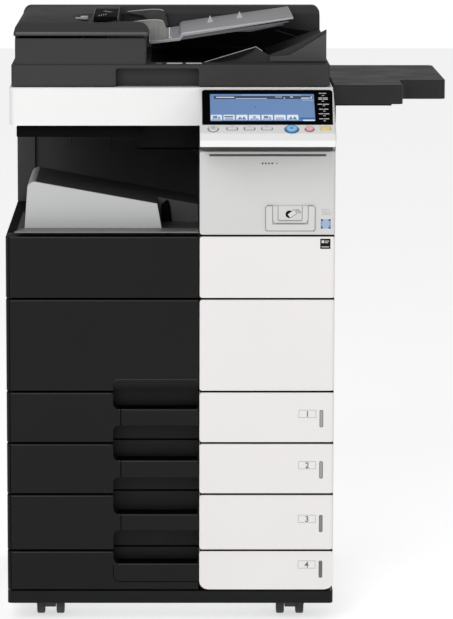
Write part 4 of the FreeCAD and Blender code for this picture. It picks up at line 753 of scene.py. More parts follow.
def make_front_cover_details():
    z = COVER_HIGH.z - 7
    groove = Piece("cover_groove", "cabinet", SOFT_GROOVE, "light_grey_cover")
    groove.prism(rounded((72, 290), (z - 2.4, z + 1.6), 1.9), "y", *FLAT)
    groove.done()
    shade_line = Piece("cover_groove_shade", "cabinet", GROOVE_AND_SHADE, "light_grey_cover")
    shade_line.prism(rounded((73.5, 288.5), (z - 0.2, z + 1.1), 0.6), "y", -GRAPHIC * 1.4, -GRAPHIC / 2)
    shade_line.done()
    row = COVER_HIGH.z - 22.5
    dots = Piece("indicator_dots", "cabinet", MATT_BLACK_AND_SHADE, "light_grey_cover")
    for i in range(4):
        dots.lathe([(1.55, 0), (1.45, -GRAPHIC), (TIP, -GRAPHIC)], "y", (171.4 + 6 * i, 0, row), 20)
    dots.done()
    faint = Piece("indicator_ring", "cabinet", MARK_FAINT, "light_grey_cover")
    faint.lathe([(1.8, 0), (1.6, -GRAPHIC), (TIP, -GRAPHIC)], "y", (197.7, 0, row), 20)
    faint.done()
    front = PAD_LOW.y
    floor = front + 3 - 0.1
    outer = [(190, PAD_HIGH.z), (190, 766), (193, 760), (199, 759), (247, 759), (253.5, 760.5), (257, 766),
             (257, PAD_HIGH.z)]
    inner = [(200, PAD_HIGH.z), (200, 768), (200.6, 765), (203, 764), (243, 764), (245.4, 765), (246, 768),
             (246, PAD_HIGH.z)]
    slope = Piece("card_reader_slope", "cabinet", LIGHT_GREY, "light_grey_cover")
    mesh = bmesh.new()
    rows = []
    for outline, y in ((outer, front + 0.3), (inner, floor - 0.4), (inner, floor + FACE_GAP),
                       (outer, floor + FACE_GAP)):
        rows.append([mesh.verts.new((x, y, z)) for x, z in outline])
    for first, second in zip(rows, rows[1:] + rows[:1]):
        for i in range(len(outer) - 1):
            mesh.faces.new((first[i], first[i + 1], second[i + 1], second[i]))
    for i in (0, len(outer) - 1):
        mesh.faces.new([row[i] for row in rows])
    bmesh.ops.recalc_face_normals(mesh, faces=mesh.faces)
    slope.add(mesh)
    slope.done(20)
    # Painted shade: dark lines along the steps of the card reader's frame.
    lines = Piece("card_reader_shade_lines", "cabinet", SHADOW_LINE_GREY, "light_grey_cover")
    for pair in ((outer, [(a + (0.9 if a < 223 else -0.9), max(b, 760.1)) for a, b in outer]),
                 (inner, [(a + (0.9 if a < 223 else -0.9), max(b, 765.1)) for a, b in inner])):
        y = front + 0.15 if pair[0] is outer else floor - 0.55
        lines.prism(pair[0] + pair[1][::-1], "y", y, y + 0.2)
    lines.done()
    shadow = Piece("card_reader_shadow", "cabinet", SHADOW_LINE_GREY, "light_grey_cover")
    left, right, base, roof = PAD_LOW.x, PAD_HIGH.x, PAD_LOW.z, PAD_HIGH.z
    for x, z in (((left - 0.9, left - 0.1), (base, roof - 2)), ((right + 0.1, right + 1.1), (base, roof - 2)),
                 ((left, right), (base - 1.6, base - 0.1)), ((left + 2, 190), (roof + 0.1, roof + 1)),
                 ((257, right - 2), (roof + 0.1, roof + 1))):
        shadow.box(x, (-0.3, FACE_GAP), z)
    shadow.done()
    disc = Piece("card_symbol_field", "cabinet", MATT_BLACK_AND_SHADE, "bay_plastic")
    disc.lathe([(7, 0), (6.8, -GRAPHIC), (TIP, -GRAPHIC)], "y", (221.5, floor, 776.5), 40)
    disc.done()
    card = Piece("card_symbol", "cabinet", MARK_WHITE, "white_cover")
    turned, big = [[(227 + a * wide * math.cos(0.6) - b * tall * math.sin(0.6),
                     777.5 + a * wide * math.sin(0.6) + b * tall * math.cos(0.6))
                    for a, b in rounded((-7.5, 7.5), (-4, 4), 1)] for wide, tall in ((1, 1), (1.09, 1.16))]
    card.prism(turned, "y", floor - GRAPHIC * 2, floor - GRAPHIC)
    card.done()
    rim = Piece("card_symbol_lines", "cabinet", GROOVE_AND_SHADE, "bay_plastic")
    rim.add(ring_mesh(big, turned, "y", floor - GRAPHIC * 2, floor - GRAPHIC))
    for radius in (8.5, 11.5):
        arc = [(231 + r * math.cos(math.radians(a)), 777 + r * 0.8 * math.sin(math.radians(a)))
               for r, angles in ((radius, range(10, 71, 12)), (radius + 0.9, range(70, 9, -12)))
               for a in angles]
        rim.prism(arc, "y", floor - GRAPHIC, floor)
    rim.done()
    sticker = Piece("notice_sticker", "cabinet", STICKER_BLUE, "light_grey_cover")
    sticker.prism(rounded((280.5, 298.5), (749.6, 766.8), 1.5), "y", *FLAT)
    sticker.done()
    corners = Piece("notice_sticker_corners", "cabinet", STICKER_VIOLET, "light_grey_cover")
    for x0, z0 in ((280.2, 763), (294.6, 763), (280.2, 749.2), (294.6, 749.2)):
        corners.prism(rounded((x0, x0 + 4.2), (z0, z0 + 4.2), 0.8), "y", *OVER_FLAT)
    for z0 in (754.8, 759):
        corners.box((280.2, 282.4), OVER_FLAT, (z0, z0 + 1.8))
        corners.box((296.6, 298.8), OVER_FLAT, (z0, z0 + 1.8))
    corners.done()
    faint_marks = Piece("notice_marks", "cabinet", MARK_FAINT, "light_grey_cover")
    faint_marks.add(frame_mesh((283, 289), (775.5, 782), 0.9, FLAT))
    faint_marks.add(frame_mesh((290.5, 298), (775.5, 781), 0.9, FLAT))
    faint_marks.box((282, 296), FLAT, (784.6, 785.6))
    faint_marks.done()
    door_high = node_box("upper_door_panel")[1]
    plate = Piece("door_plate", "upper_door", MATT_BLACK_AND_SHADE, "bay_plastic")
    plate.prism(rounded((279.5, 298.5), (door_high.z - 23, door_high.z - 4), 0.8), "y", *FLAT)
    plate.done()
    lines = Piece("door_plate_lines", "upper_door", MARK_WHITE, "white_cover")
    for x, lower, upper in (((282, 287), 12, 7), ((288.5, 296), 9, 7.6), ((288.5, 294), 12, 10.6),
                            ((282, 296), 20, 18.6)):
        lines.box(x, LINE_FLAT, (door_high.z - lower, door_high.z - upper))
    lines.done()


make_front_cover_details()


# ------------------------------------------------------------------ operation panel
SCREEN_X = (72.6, 265.2)
SCREEN_Y = (39.8, 131.5)
BUTTONS = 7         # the row of buttons on the display
BUTTON_LEFT = 73.9
BUTTON_STEP = 23.27
KEY_TOP = 2.5       # how far the keys stand out of the panel's face
POWER_KEY = (78, 14.5)
START_KEY = (221, 13.5)
STOP_KEY = (253.5, 14)
REGISTER_KEYS = [112.5 + 31.7 * i for i in range(3)]


def panel_bar(piece, x, y, low=0.0, high=GRAPHIC, radius=0.0):
    if radius:
        piece.prism(rounded(x, y, radius), "z", low, high)
    else:
        piece.box(x, y, (low, high))


def make_bezel():
    bezel = Piece("panel_bezel", "panel", BEZEL, "screen", PANEL)
    outline = [(58.3, 28.2), (296.6, 28.2)]
    for centre, start in ((292.4, 0), (65.3, 90)):
        for step in range(7):
            angle = math.radians(start + 15 * step)
            outline.append((centre + 7 * math.cos(angle), 136.6 + 7 * math.sin(angle)))
    hole = rounded(SCREEN_X, SCREEN_Y, 1.0, 3)
    bezel.holed(outline, [hole], FACE_GAP, 0.9)
    bezel.done()


def make_display():
    """The lit face of the display: a status bar, a row of seven buttons and a message field."""
    low, high = -0.5, -0.35
    back = Piece("display_field", "panel", LCD_BLUE, "screen", PANEL)
    panel_bar(back, (73.2, 264.7), (39.9, 131.2), low, high)
    back.done()
    step = high
    light = Piece("display_light_bars", "panel", LCD_LIGHT, "screen", PANEL)
    for x, y in (((131, 241), (126.4, 129)), ((73.5, 94.5), (40.2, 43.2)), ((242.5, 263.5), (109.5, 112.2))):
        panel_bar(light, x, y, step, step + 0.06)
    light.done()
    dark = Piece("display_status_bar", "panel", LCD_DARK, "screen", PANEL)
    panel_bar(dark, (80, 262), (114.5, 124.6), step, step + 0.05, 1.5)
    dark.lathe([(1.3, 0), (1.3, 0.06)], "z", (156.1, 87.8, step), 16)
    panel_bar(dark, (98.5, 115), (54.5, 57.5), step + 0.1, step + 0.14)
    dark.done()
    pale = Piece("display_status_marks", "panel", LCD_PALE, "screen", PANEL)
    for x, y, radius in (((84, 118), (118.6, 121.8), 1.2), ((120.5, 178), (115.4, 117), 0),
                         ((241, 257), (115.8, 119), 1.2), ((209, 211.5), (116.2, 119), 0),
                         ((221, 226), (119.6, 122.6), 0), ((193, 206), (120.4, 122), 0),
                         ((258.5, 261), (115.8, 122.8), 0)):
        panel_bar(pale, x, y, step + 0.06, step + 0.1, radius)
    pale.done()
    white = Piece("display_buttons", "panel", LCD_WHITE, "screen", PANEL)
    icons = Piece("display_icons", "panel", LCD_ICON, "screen", PANEL)
    for i in range(BUTTONS):
        x = BUTTON_LEFT + BUTTON_STEP * i
        panel_bar(white, (x, x + 20.6), (44.8, 61.8), step + 0.02, step + 0.08, 1.4)
        top = step + 0.08
        kind = i % 4
        if kind == 0:
            panel_bar(icons, (x + 4, x + 12), (50, 58.5), top, top + 0.05)
            panel_bar(icons, (x + 13.5, x + 17), (50, 55), top, top + 0.05)
        elif kind == 1:
            panel_bar(icons, (x + 3, x + 17.5), (47.4, 49.4), top, top + 0.05)
            panel_bar(icons, (x + 3, x + 17.5), (51.4, 53), top, top + 0.05)
        elif kind == 2:
            icons.prism([(x + 3.5, 47.5), (x + 10.5, 47.5), (x + 7, 57.5)], "z", top, top + 0.05)
            icons.prism([(x + 10.5, 47.5), (x + 17.5, 47.5), (x + 14, 57.5)], "z", top, top + 0.05)
        else:
            icons.prism(circle(x + 10.3, 54.5, 2.8, 20), "z", top, top + 0.05)
            panel_bar(icons, (x + 5, x + 15.6), (47.3, 49.6), top, top + 0.05)
    panel_bar(white, (242.8, 264.2), (41.2, 45.8), step + 0.06, step + 0.1)
    labels = Piece("display_labels", "panel", LCD_LABEL, "screen", PANEL)
    for i in range(BUTTONS):
        x = BUTTON_LEFT + BUTTON_STEP * i
        for at, width in ((2.5, 4.5), (8, 3), (12, 6)):
            panel_bar(labels, (x + at, x + at + width), (46.2, 48.4), step + 0.12, step + 0.16)
    labels.done()
    white.done()
    icons.done()
    deep = Piece("display_lower_bar", "panel", LCD_DEEP, "screen", PANEL)
    panel_bar(deep, (236.4, 264.4), (46.4, 53.2), step, step + 0.05)
    deep.done()


def make_panel_marks():
    """Plain bars and boxes beside the display, where the machine's function keys are."""
    marks = Piece("panel_function_marks", "panel", MARK_WHITE, "key_white", PANEL)
    low, high = 0.9, 1.0
    for x, y, width in ((274.2, 130.2, 13.5), (272.6, 114.8, 17.4), (272.6, 110.6, 17.4),
                        (270.8, 93.8, 20.6), (272.9, 77.4, 17), (271.5, 62, 20), (272, 45.4, 18.4)):
        gap_at = width * 0.42
        panel_bar(marks, (x, x + gap_at), (y, y + 2.5), low, high, 0.6)
        panel_bar(marks, (x + gap_at + 1.1, x + width), (y, y + 2.5), low, high, 0.6)
    for x, y in ((279.6, 123.2), (279, 104.2), (280.4, 89), (280.2, 71.4), (280, 55.8), (279.8, 39)):
        panel_bar(marks, (x, x + 4.2), (y, y + 2), low, high, 0.7)
    marks.done()
    side = Piece("panel_edge_marks", "panel", MARK_GREY, "key_white", PANEL)
    for y in (40, 52, 62, 74, 84):
        panel_bar(side, (299.2, 300.4), (y, y + 1.5), -0.02, 0.2)
    for x in REGISTER_KEYS:
        panel_bar(side, (x - 0.8, x + 0.8), (23.6, 25.2), -0.02, 0.2)
    side.done()


def make_key_marks():
    """The signs and light rings on the keys."""
    surround = Piece("key_surrounds", "panel", SHADOW_LINE_GREY, "key_white", PANEL)
    shapes = [(rounded((x - 10.6, x + 10.6), (10.2, 21.2), 3.6), rounded((x - 9.4, x + 9.4), (11.2, 20.8), 3))
              for x in REGISTER_KEYS]
    shapes += [(circle(x, y - 0.4, radius + 1.3, 48), circle(x, y, radius + 0.1, 48))
               for (x, y), radius in ((POWER_KEY, 9), (START_KEY, 12.4), (STOP_KEY, 7.9))]
    for outer, inner in shapes:
        surround.add(ring_mesh(outer, inner, "z", -0.02, 0.15))
    surround.done()
    power = Piece("power_key_sign", "power_key", MARK_GREY, "key_white", PANEL)
    power.add(ring_mesh(circle(78, 15, 3.4, 24), circle(78, 15, 2.7, 24), "z", KEY_TOP, KEY_TOP + 0.2))
    power.box((77.6, 78.4), (15, 19), (KEY_TOP, KEY_TOP + 0.25))
    power.done()
    start = Piece("start_key_face", "start_key", START_FACE, "key_start", PANEL)
    start.lathe([(9.4, 0), (9.0, 0.35), (TIP, 0.5)], "z", (*START_KEY, KEY_TOP), 48)
    start.done()
    sign = Piece("start_key_sign", "start_key", KEY_BLUE, "key_start", PANEL)
    sign.prism([(221, 9.5), (225, 13.5), (221, 17.5), (217, 13.5)], "z", KEY_TOP + 0.4, KEY_TOP + 0.65)
    sign.done()
    stop = Piece("stop_key_face", "stop_key", STOP_FACE, "key_stop", PANEL)
    stop.lathe([(5.6, 0), (5.3, 0.3), (TIP, 0.4)], "z", (*STOP_KEY, KEY_TOP), 40)
    stop.done()
    reset = Piece("reset_key_face", "reset_key", RESET_FACE, "key_reset", PANEL)
    reset.prism(rounded((276, 290), (13.4, 18.6), 2.4), "z", KEY_TOP, KEY_TOP + 0.3, 0.15)
    reset.done()


make_bezel()
make_display()
make_panel_marks()
make_key_marks()


# ------------------------------------------------------------------ exit bay
LINER_LOW, LINER_HIGH = node_box("exit_bay_liner")
TRAY_LOW, TRAY_HIGH = node_box("exit_tray")
CEILING = LINER_HIGH.z - 0.5


def make_bay_details():
    """The exit unit under the ceiling, a lighter grey band along the tray's rounded left edge and the lines
    in its top.
    """
    # Painted shade: a near-black block under the ceiling, left of the exit unit.
    ceiling = Piece("bay_ceiling_shade", "cabinet", DEEP_BLACK_AND_SHADE, "bay_plastic")
    ceiling.box((-287, -55), (36, 500), (CEILING - 20, CEILING), 1.5)
    ceiling.done()
    unit = Piece("exit_unit", "cabinet", EXIT_UNIT_DARK, "bay_plastic")
    unit.prism([(120, CEILING), (120, CEILING - 48), (126, CEILING - 53), (440, CEILING - 53),
                (440, CEILING)], "x", -54, 53.5, 1)
    unit.done()
    slit = Piece("exit_slit", "cabinet", GROOVE_AND_SHADE, "bay_plastic")
    slit.prism([(-70, CEILING - 49.4), (53.5, CEILING - 50.6), (53.5, CEILING - 52.2),
                (-56, CEILING - 51.4)], "y", 118, 119.6)
    slit.done()
    shaft = Piece("exit_roller_shaft", "cabinet", STEEL, "frame_steel")
    shaft.lathe([(2.5, 0), (2.5, 296)], "y", (46, 134, CEILING - 50), 20)
    shaft.done()
    rollers = Piece("exit_rollers", "cabinet", ROLLER, "caster_rubber")
    for y in (160, 220, 320, 380):
        rollers.lathe([(7.4, 0), (8, 1), (8, 17), (7.4, 18)], "y", (46, y, CEILING - 50), 28)
    rollers.done()
    # A lighter grey band along the tray's rounded left edge.
    cap = Piece("exit_tray_left_band", "cabinet", DOCUMENT_GREY, "bay_plastic")
    rear = TRAY_HIGH.y
    face_low, face_high = node_box("exit_tray_face")
    left, top = face_low.x, face_high.z
    outline = []
    for step in range(9):
        angle = math.radians(170 - 11 * step)
        outline.append((left + 19 + 14.3 * math.cos(angle), top - 13.6 + 14.1 * math.sin(angle)))
    inner = [(a + 0.5, b - 0.8) for a, b in outline]
    cap.prism(outline + inner[::-1], "y", face_high.y + 0.5, rear - 2)
    cap.done()
    ribs = Piece("exit_tray_ribs", "cabinet", TRAY_DARK, "bay_plastic")
    slope = math.atan2(97 - 53, 267.5 - 24.5)
    for y in range(int(face_high.y) + 30, int(rear) - 10, 44):
        rib = box_mesh((0, 210), (y, y + 2), (-0.4, 0.7), 0.3)
        bmesh.ops.transform(rib, matrix=Matrix.Translation((left + 40, 0, top - 8.3))
                            @ Matrix.Rotation(slope, 4, "Y"), verts=rib.verts)
        ribs.add(rib)
    ribs.done()
    rear_wall = LINER_HIGH.y - 3
    lines = Piece("bay_wall_ribs", "cabinet", BAY_DARK, "bay_plastic")
    for x in (-200, -120, -40):
        lines.box((x, x + 2), (rear_wall - 1.2, rear_wall + 0.1), (LINER_LOW.z + 110, CEILING - 26), 0.4)
    lines.done()
    apron = Piece("exit_tray_apron", "cabinet", APRON_GREY, "bay_plastic")
    plate = TRAY_LOW.z + 2
    apron.prism([(-291, 9.5), (53, 9.5), (53, 59), (-276, 59)], "z", plate + 0.05, plate + 0.5)
    apron.prism([(-290.5, plate - 1.8), (53, plate - 1.8), (53, plate + 0.4), (-290.5, plate + 0.4)],
                "y", 8.7, 9.6)
    apron.done()
    # A painted shadow on the bay's floor along its left wall.
    shadow = Piece("bay_floor_shadow", "cabinet", DEEP_BLACK_AND_SHADE, "bay_plastic")
    floor = LINER_LOW.z + 2.99
    shadow.prism([(-305, 32), (-296, 32), (-279, 60), (-279, 545), (-305, 545)], "z", floor, floor + 0.25)
    shadow.done()
    # A painted shadow in the gap between the tray's end and the wall behind it.
    gap_shadow = Piece("exit_tray_gap_shadow", "cabinet", DEEP_BLACK_AND_SHADE, "bay_plastic")
    gap_shadow.prism([(-17, 775), (-6.5, 784.5), (-3, 782), (0.5, 770), (3.5, 731.5), (3.5, plate + 0.6),
                 (-17, plate + 0.6)], "y", 163.5, 166)
    gap_shadow.done()


make_bay_details()


# ------------------------------------------------------------------ feeder lid
LID_LOW, LID_HIGH = node_box("feeder_lid")
LID_ENTRY_X = -97
LID_RIM_Y = 40
LID_SIDE_RIM = 19    # the width of the lower rim along the lid's right side
RIM_DROP = 8.8
RIM_RADIUS = 18
# how far the lid's top falls, against the way in from its front edge and from its left edge
FRONT_PROFILE = [(0, -29), (1.2, -25), (3.5, -22.4), (8, -21.4), (12, -20.4), (17, -16.6), (23, -12.6),
                 (29, -10.2), (36, -8.8), (60, -5.2), (100, -1.8), (150, 0), (420, 0)]
LEFT_PROFILE = [(0, -26), (0.8, -21), (3, -15.5), (8, -9.6), (15, -4.8), (24, -1.6), (36, 0), (300, 0)]
RECESS = (-137, 92, 46, 62, 7)   # its middle, its reach in x and in y, and its depth


def along_profile(profile, place):
    for (a, low), (b, high) in zip(profile, profile[1:]):
        if place <= b:
            share = max(0, (place - a) / (b - a))
            return low + (high - low) * share
    return profile[-1][1]


def soft_min(first, second, width):
    """The lower of two heights, rounded where they cross."""
    share = max(0.0, min(1.0, 0.5 + (second - first) / (2 * width)))
    return second * (1 - share) + first * share - width * share * (1 - share)


def lid_drop(x, y):
    """How far the lid's top lies below its highest level."""
    height = soft_min(along_profile(FRONT_PROFILE, y - LID_LOW.y),
                      along_profile(LEFT_PROFILE, x - LID_LOW.x), 2.5)
    rim_start = LID_HIGH.x - LID_SIDE_RIM
    if x > rim_start:
        across = min(x - rim_start, RIM_RADIUS - 0.1)
        fall = RIM_RADIUS - math.sqrt(max(0, RIM_RADIUS ** 2 - across ** 2))
        height = soft_min(height, -RIM_DROP - fall, 1.0)
    at_x, at_y, reach_x, reach_y, depth = RECESS
    away = math.hypot((x - at_x) / reach_x, (y - at_y) / reach_y)
    if away < 1:
        height -= depth * min(1, (1 - away) * 4) ** 0.7
    return height


def stations(points, fine):
    """Places from the first point to the last, at most fine apart and with every point kept."""
    result = [points[0]]
    for a, b in zip(points, points[1:]):
        count = max(1, math.ceil((b - a) / fine))
        result += [a + (b - a) * (i + 1) / count for i in range(count)]
    return result


def make_lid():
    lid = Piece("feeder_lid_cover", "feeder_lid", FEEDER, "feeder_plastic")
    xs = stations([LID_LOW.x, LID_LOW.x + 2, LID_LOW.x + 40, -190, LID_ENTRY_X,
                   LID_HIGH.x - LID_SIDE_RIM, LID_HIGH.x], 4)
    ys = stations([LID_LOW.y, LID_LOW.y + 4, LID_LOW.y + LID_RIM_Y, 160, LID_HIGH.y], 4)
    mesh = bmesh.new()
    grid = {}
    for i, x in enumerate(xs):
        for j, y in enumerate(ys):
            if x > LID_ENTRY_X + 0.01 and y > LID_LOW.y + LID_RIM_Y + 0.01:
                continue
            grid[i, j] = mesh.verts.new((x, y, LID_HIGH.z + lid_drop(x, y)))
    for i in range(len(xs) - 1):
        for j in range(len(ys) - 1):
            corners = [(i, j), (i + 1, j), (i + 1, j + 1), (i, j + 1)]
            if all(c in grid for c in corners):
                mesh.faces.new([grid[c] for c in corners])
    rim = [edge for edge in mesh.edges if len(edge.link_faces) == 1]
    for drop in (LID_LOW.z + 0.8, LID_LOW.z):
        made = bmesh.ops.extrude_edge_only(mesh, edges=rim)
        new_verts = [v for v in made["geom"] if isinstance(v, bmesh.types.BMVert)]
        for vert in new_verts:
            vert.co.z = drop
        rim = [e for e in made["geom"] if isinstance(e, bmesh.types.BMEdge)
               and all(v in new_verts for v in e.verts)]
    bmesh.ops.edgeloop_fill(mesh, edges=rim)
    bmesh.ops.recalc_face_normals(mesh, faces=mesh.faces)
    lid.add(mesh)
    thing = lid.done(50)
    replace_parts(thing, "feeder_lid")
    # Painted highlights: a lighter strip on the lid's front lip and a lighter line along the ridge above it.
    lip = Piece("lid_lip_highlight", "feeder_lid", LID_HIGHLIGHT_GREY, "feeder_plastic")
    lip.box((LID_LOW.x + 4, LID_HIGH.x - 3.5), (LID_LOW.y - 0.2, LID_LOW.y + 0.3),
            (LID_LOW.z + 2.5, LID_LOW.z + 7), 0.15)
    lip.done()
    ridge = Piece("lid_ridge_highlight", "feeder_lid", LID_HIGHLIGHT_GREY, "feeder_plastic")
    ridge_y = LID_LOW.y + 33
    ridge_z = LID_HIGH.z + lid_drop(-150, ridge_y)
    ridge.box((-262, -64), (ridge_y, ridge_y + 2.4), (ridge_z - 0.5, ridge_z + 0.35), 0.15)
    ridge.done()
    lever = Piece("lid_release_lever", "feeder_lid", PALE_GREY_AND_HIGHLIGHT, "guide_grey")
    lever.box((-168, -154), (86, 100), (LID_HIGH.z - 8, LID_HIGH.z - 1.5), 1.5)
    lever.box((-178, -160), (92, 96), (LID_HIGH.z - 7.5, LID_HIGH.z - 4), 1)
    lever.done()
    window = Piece("lid_entry_plate", "feeder_lid", DEEP_BLACK_AND_SHADE, "feeder_plastic")
    window.box((-143, -98.5), (46, 285), (LID_HIGH.z - 9, LID_HIGH.z - 0.2), 0.6)
    window.done()
    marks = Piece("lid_entry_marks", "feeder_lid", PALE_GREY_AND_HIGHLIGHT, "guide_grey")
    strip = box_mesh((-19, 19), (-2.2, 2.2), (0, 0.15))
    bmesh.ops.transform(strip, matrix=Matrix.Translation((-119, 196, LID_HIGH.z - 0.2))
                        @ Matrix.Rotation(math.radians(-68), 4, "Z"), verts=strip.verts)
    marks.add(strip)
    for i in range(4):
        marks.box((-134 + 4 * i, -132.4 + 4 * i), (70 + 12 * i, 100 + 12 * i),
                  (LID_HIGH.z - 0.2, LID_HIGH.z - 0.05))
    marks.done()
    rim_line = Piece("lid_entry_frame", "feeder_lid", SHADE_AND_LINE_GREY, "feeder_plastic")
    rim_line.box((-98.4, -97.1), (44, 290), (LID_HIGH.z - 8, LID_HIGH.z - 0.1), 0.3)
    rim_line.box((-144.4, -143.1), (46, 286), (LID_HIGH.z - 8, LID_HIGH.z - 0.1), 0.3)
    rim_line.done()


make_lid()


# ------------------------------------------------------------------ document tray and output surface
HUMP_LOW = node_box("feeder_rear_cover")[0]
FEED_LOW, FEED_HIGH = node_box("feed_housing")
DOC_FRONT = 85
DOC_REAR = 400


def make_document_tray():
    tray = Piece("document_tray_cover", "document_tray", DOCUMENT_GREY, "document_grey")
    top = [(-40, 1092), (17.5, 1098.2), (19.5, 1105.4), (24.5, 1108.2), (229.5, 1137)]
    tray.prism(top + [(229.5, 1133.5), (25, 1102), (18.5, 1093.4), (-40, 1086.5)], "y",
               DOC_FRONT + 0.6, DOC_REAR, 0.5)
    thing = tray.done()
    # A painted highlight along the tray's front top edge and its right end.
    edge = Piece("document_tray_edge", "document_tray", TRAY_EDGE_HIGHLIGHT, "guide_grey")
    low = [(229.8, 1134.6), (25, 1105.4), (18.7, 1102), (16.6, 1096), (-40, 1089.8)]
    edge.prism([(a, b + 0.25) for a, b in top[:-1]] + [(230, 1137.3)] + low, "y",
               DOC_FRONT, DOC_FRONT + 2.4, 0.3)
    end = [(DOC_FRONT + 2.4, 1137.4), (DOC_REAR - 2, 1137.4), (DOC_REAR - 2, 1134), (DOC_FRONT + 2.4, 1134)]
    edge.prism(end, "x", 228.4, 230)
    edge.done()
    # Painted shade: darker bands under the tray's top, where its underside is in shade.
    under = Piece("document_tray_underside", "document_tray", SHADE_AND_LINE_GREY, "document_grey")
    under.prism([(19, 1101), (222, 1130), (221.5, 1127.5), (190, 1120), (60, 1100.5), (19, 1094)], "y",
                DOC_FRONT + 4, DOC_REAR - 6, 0.4)
    under.prism([(120, 1109), (214, 1124), (212, 1121.5), (150, 1109)], "y",
                DOC_FRONT + 14, DOC_REAR - 40, 0.4)
    under.done()
    tabs = Piece("document_tray_tabs", "document_tray", MARK_WHITE, "guide_grey")
    for x, z in ((76.4, 1115), (132.6, 1123)):
        tabs.prism([(x - 6, z), (x + 6, z + 1.4), (x, z + 14)], "y", 256, 257.6)
    tabs.done()
    hook = Piece("document_guide_hook", "document_tray", MARK_WHITE, "guide_grey")
    hook.prism([(-2.4, 1097.5), (2.2, 1098), (2.2, 1100), (-0.6, 1099.8), (-0.6, 1118), (-2.4, 1118)],
               "y", 86, 88)
    hook.done()
    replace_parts(thing, "document_tray")


def make_guide_cover(side, material, reach):
    """A sheet guide with its long curved top."""
    node = "document_guide_" + side
    low, high = node_box(node)
    guide = Piece(node + "_cover", node, material, "guide_grey")
    arc = [(-3.5, 1101), (-6.5, 1112), (-10, 1124), (-12.5, 1129), (-16, 1131.4), (-24, 1132.4),
           (-38, 1132.4), (-54, 1131), (reach, 1128)]
    outline = arc + [(reach, 1124.5), (-54, 1120), (-38.2, 1109), (-38.2, 1094.2), (-4, 1098)]
    guide.prism(outline, "y", low.y, high.y, 0.4)
    thing = guide.done()
    # A painted highlight along the guide's curved top.
    rim = Piece(node + "_rim_highlight", node, PALE_GREY_AND_HIGHLIGHT, "guide_grey")
    band = [(a, b + 0.1) for a, b in arc[3:]]
    rim.prism(band + [(a, b - 1.6) for a, b in band[::-1]], "y", low.y - 1.2, high.y + 1.2, 0.2)
    rim.done()
    ribs = Piece(node + "_ribs", node, material, "guide_grey")
    for x in (-30, -22):
        ribs.box((x, x + 1), (low.y - 0.5, low.y + 0.1), (1100, 1129), 0.2)
    ribs.done()
    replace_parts(thing, node)


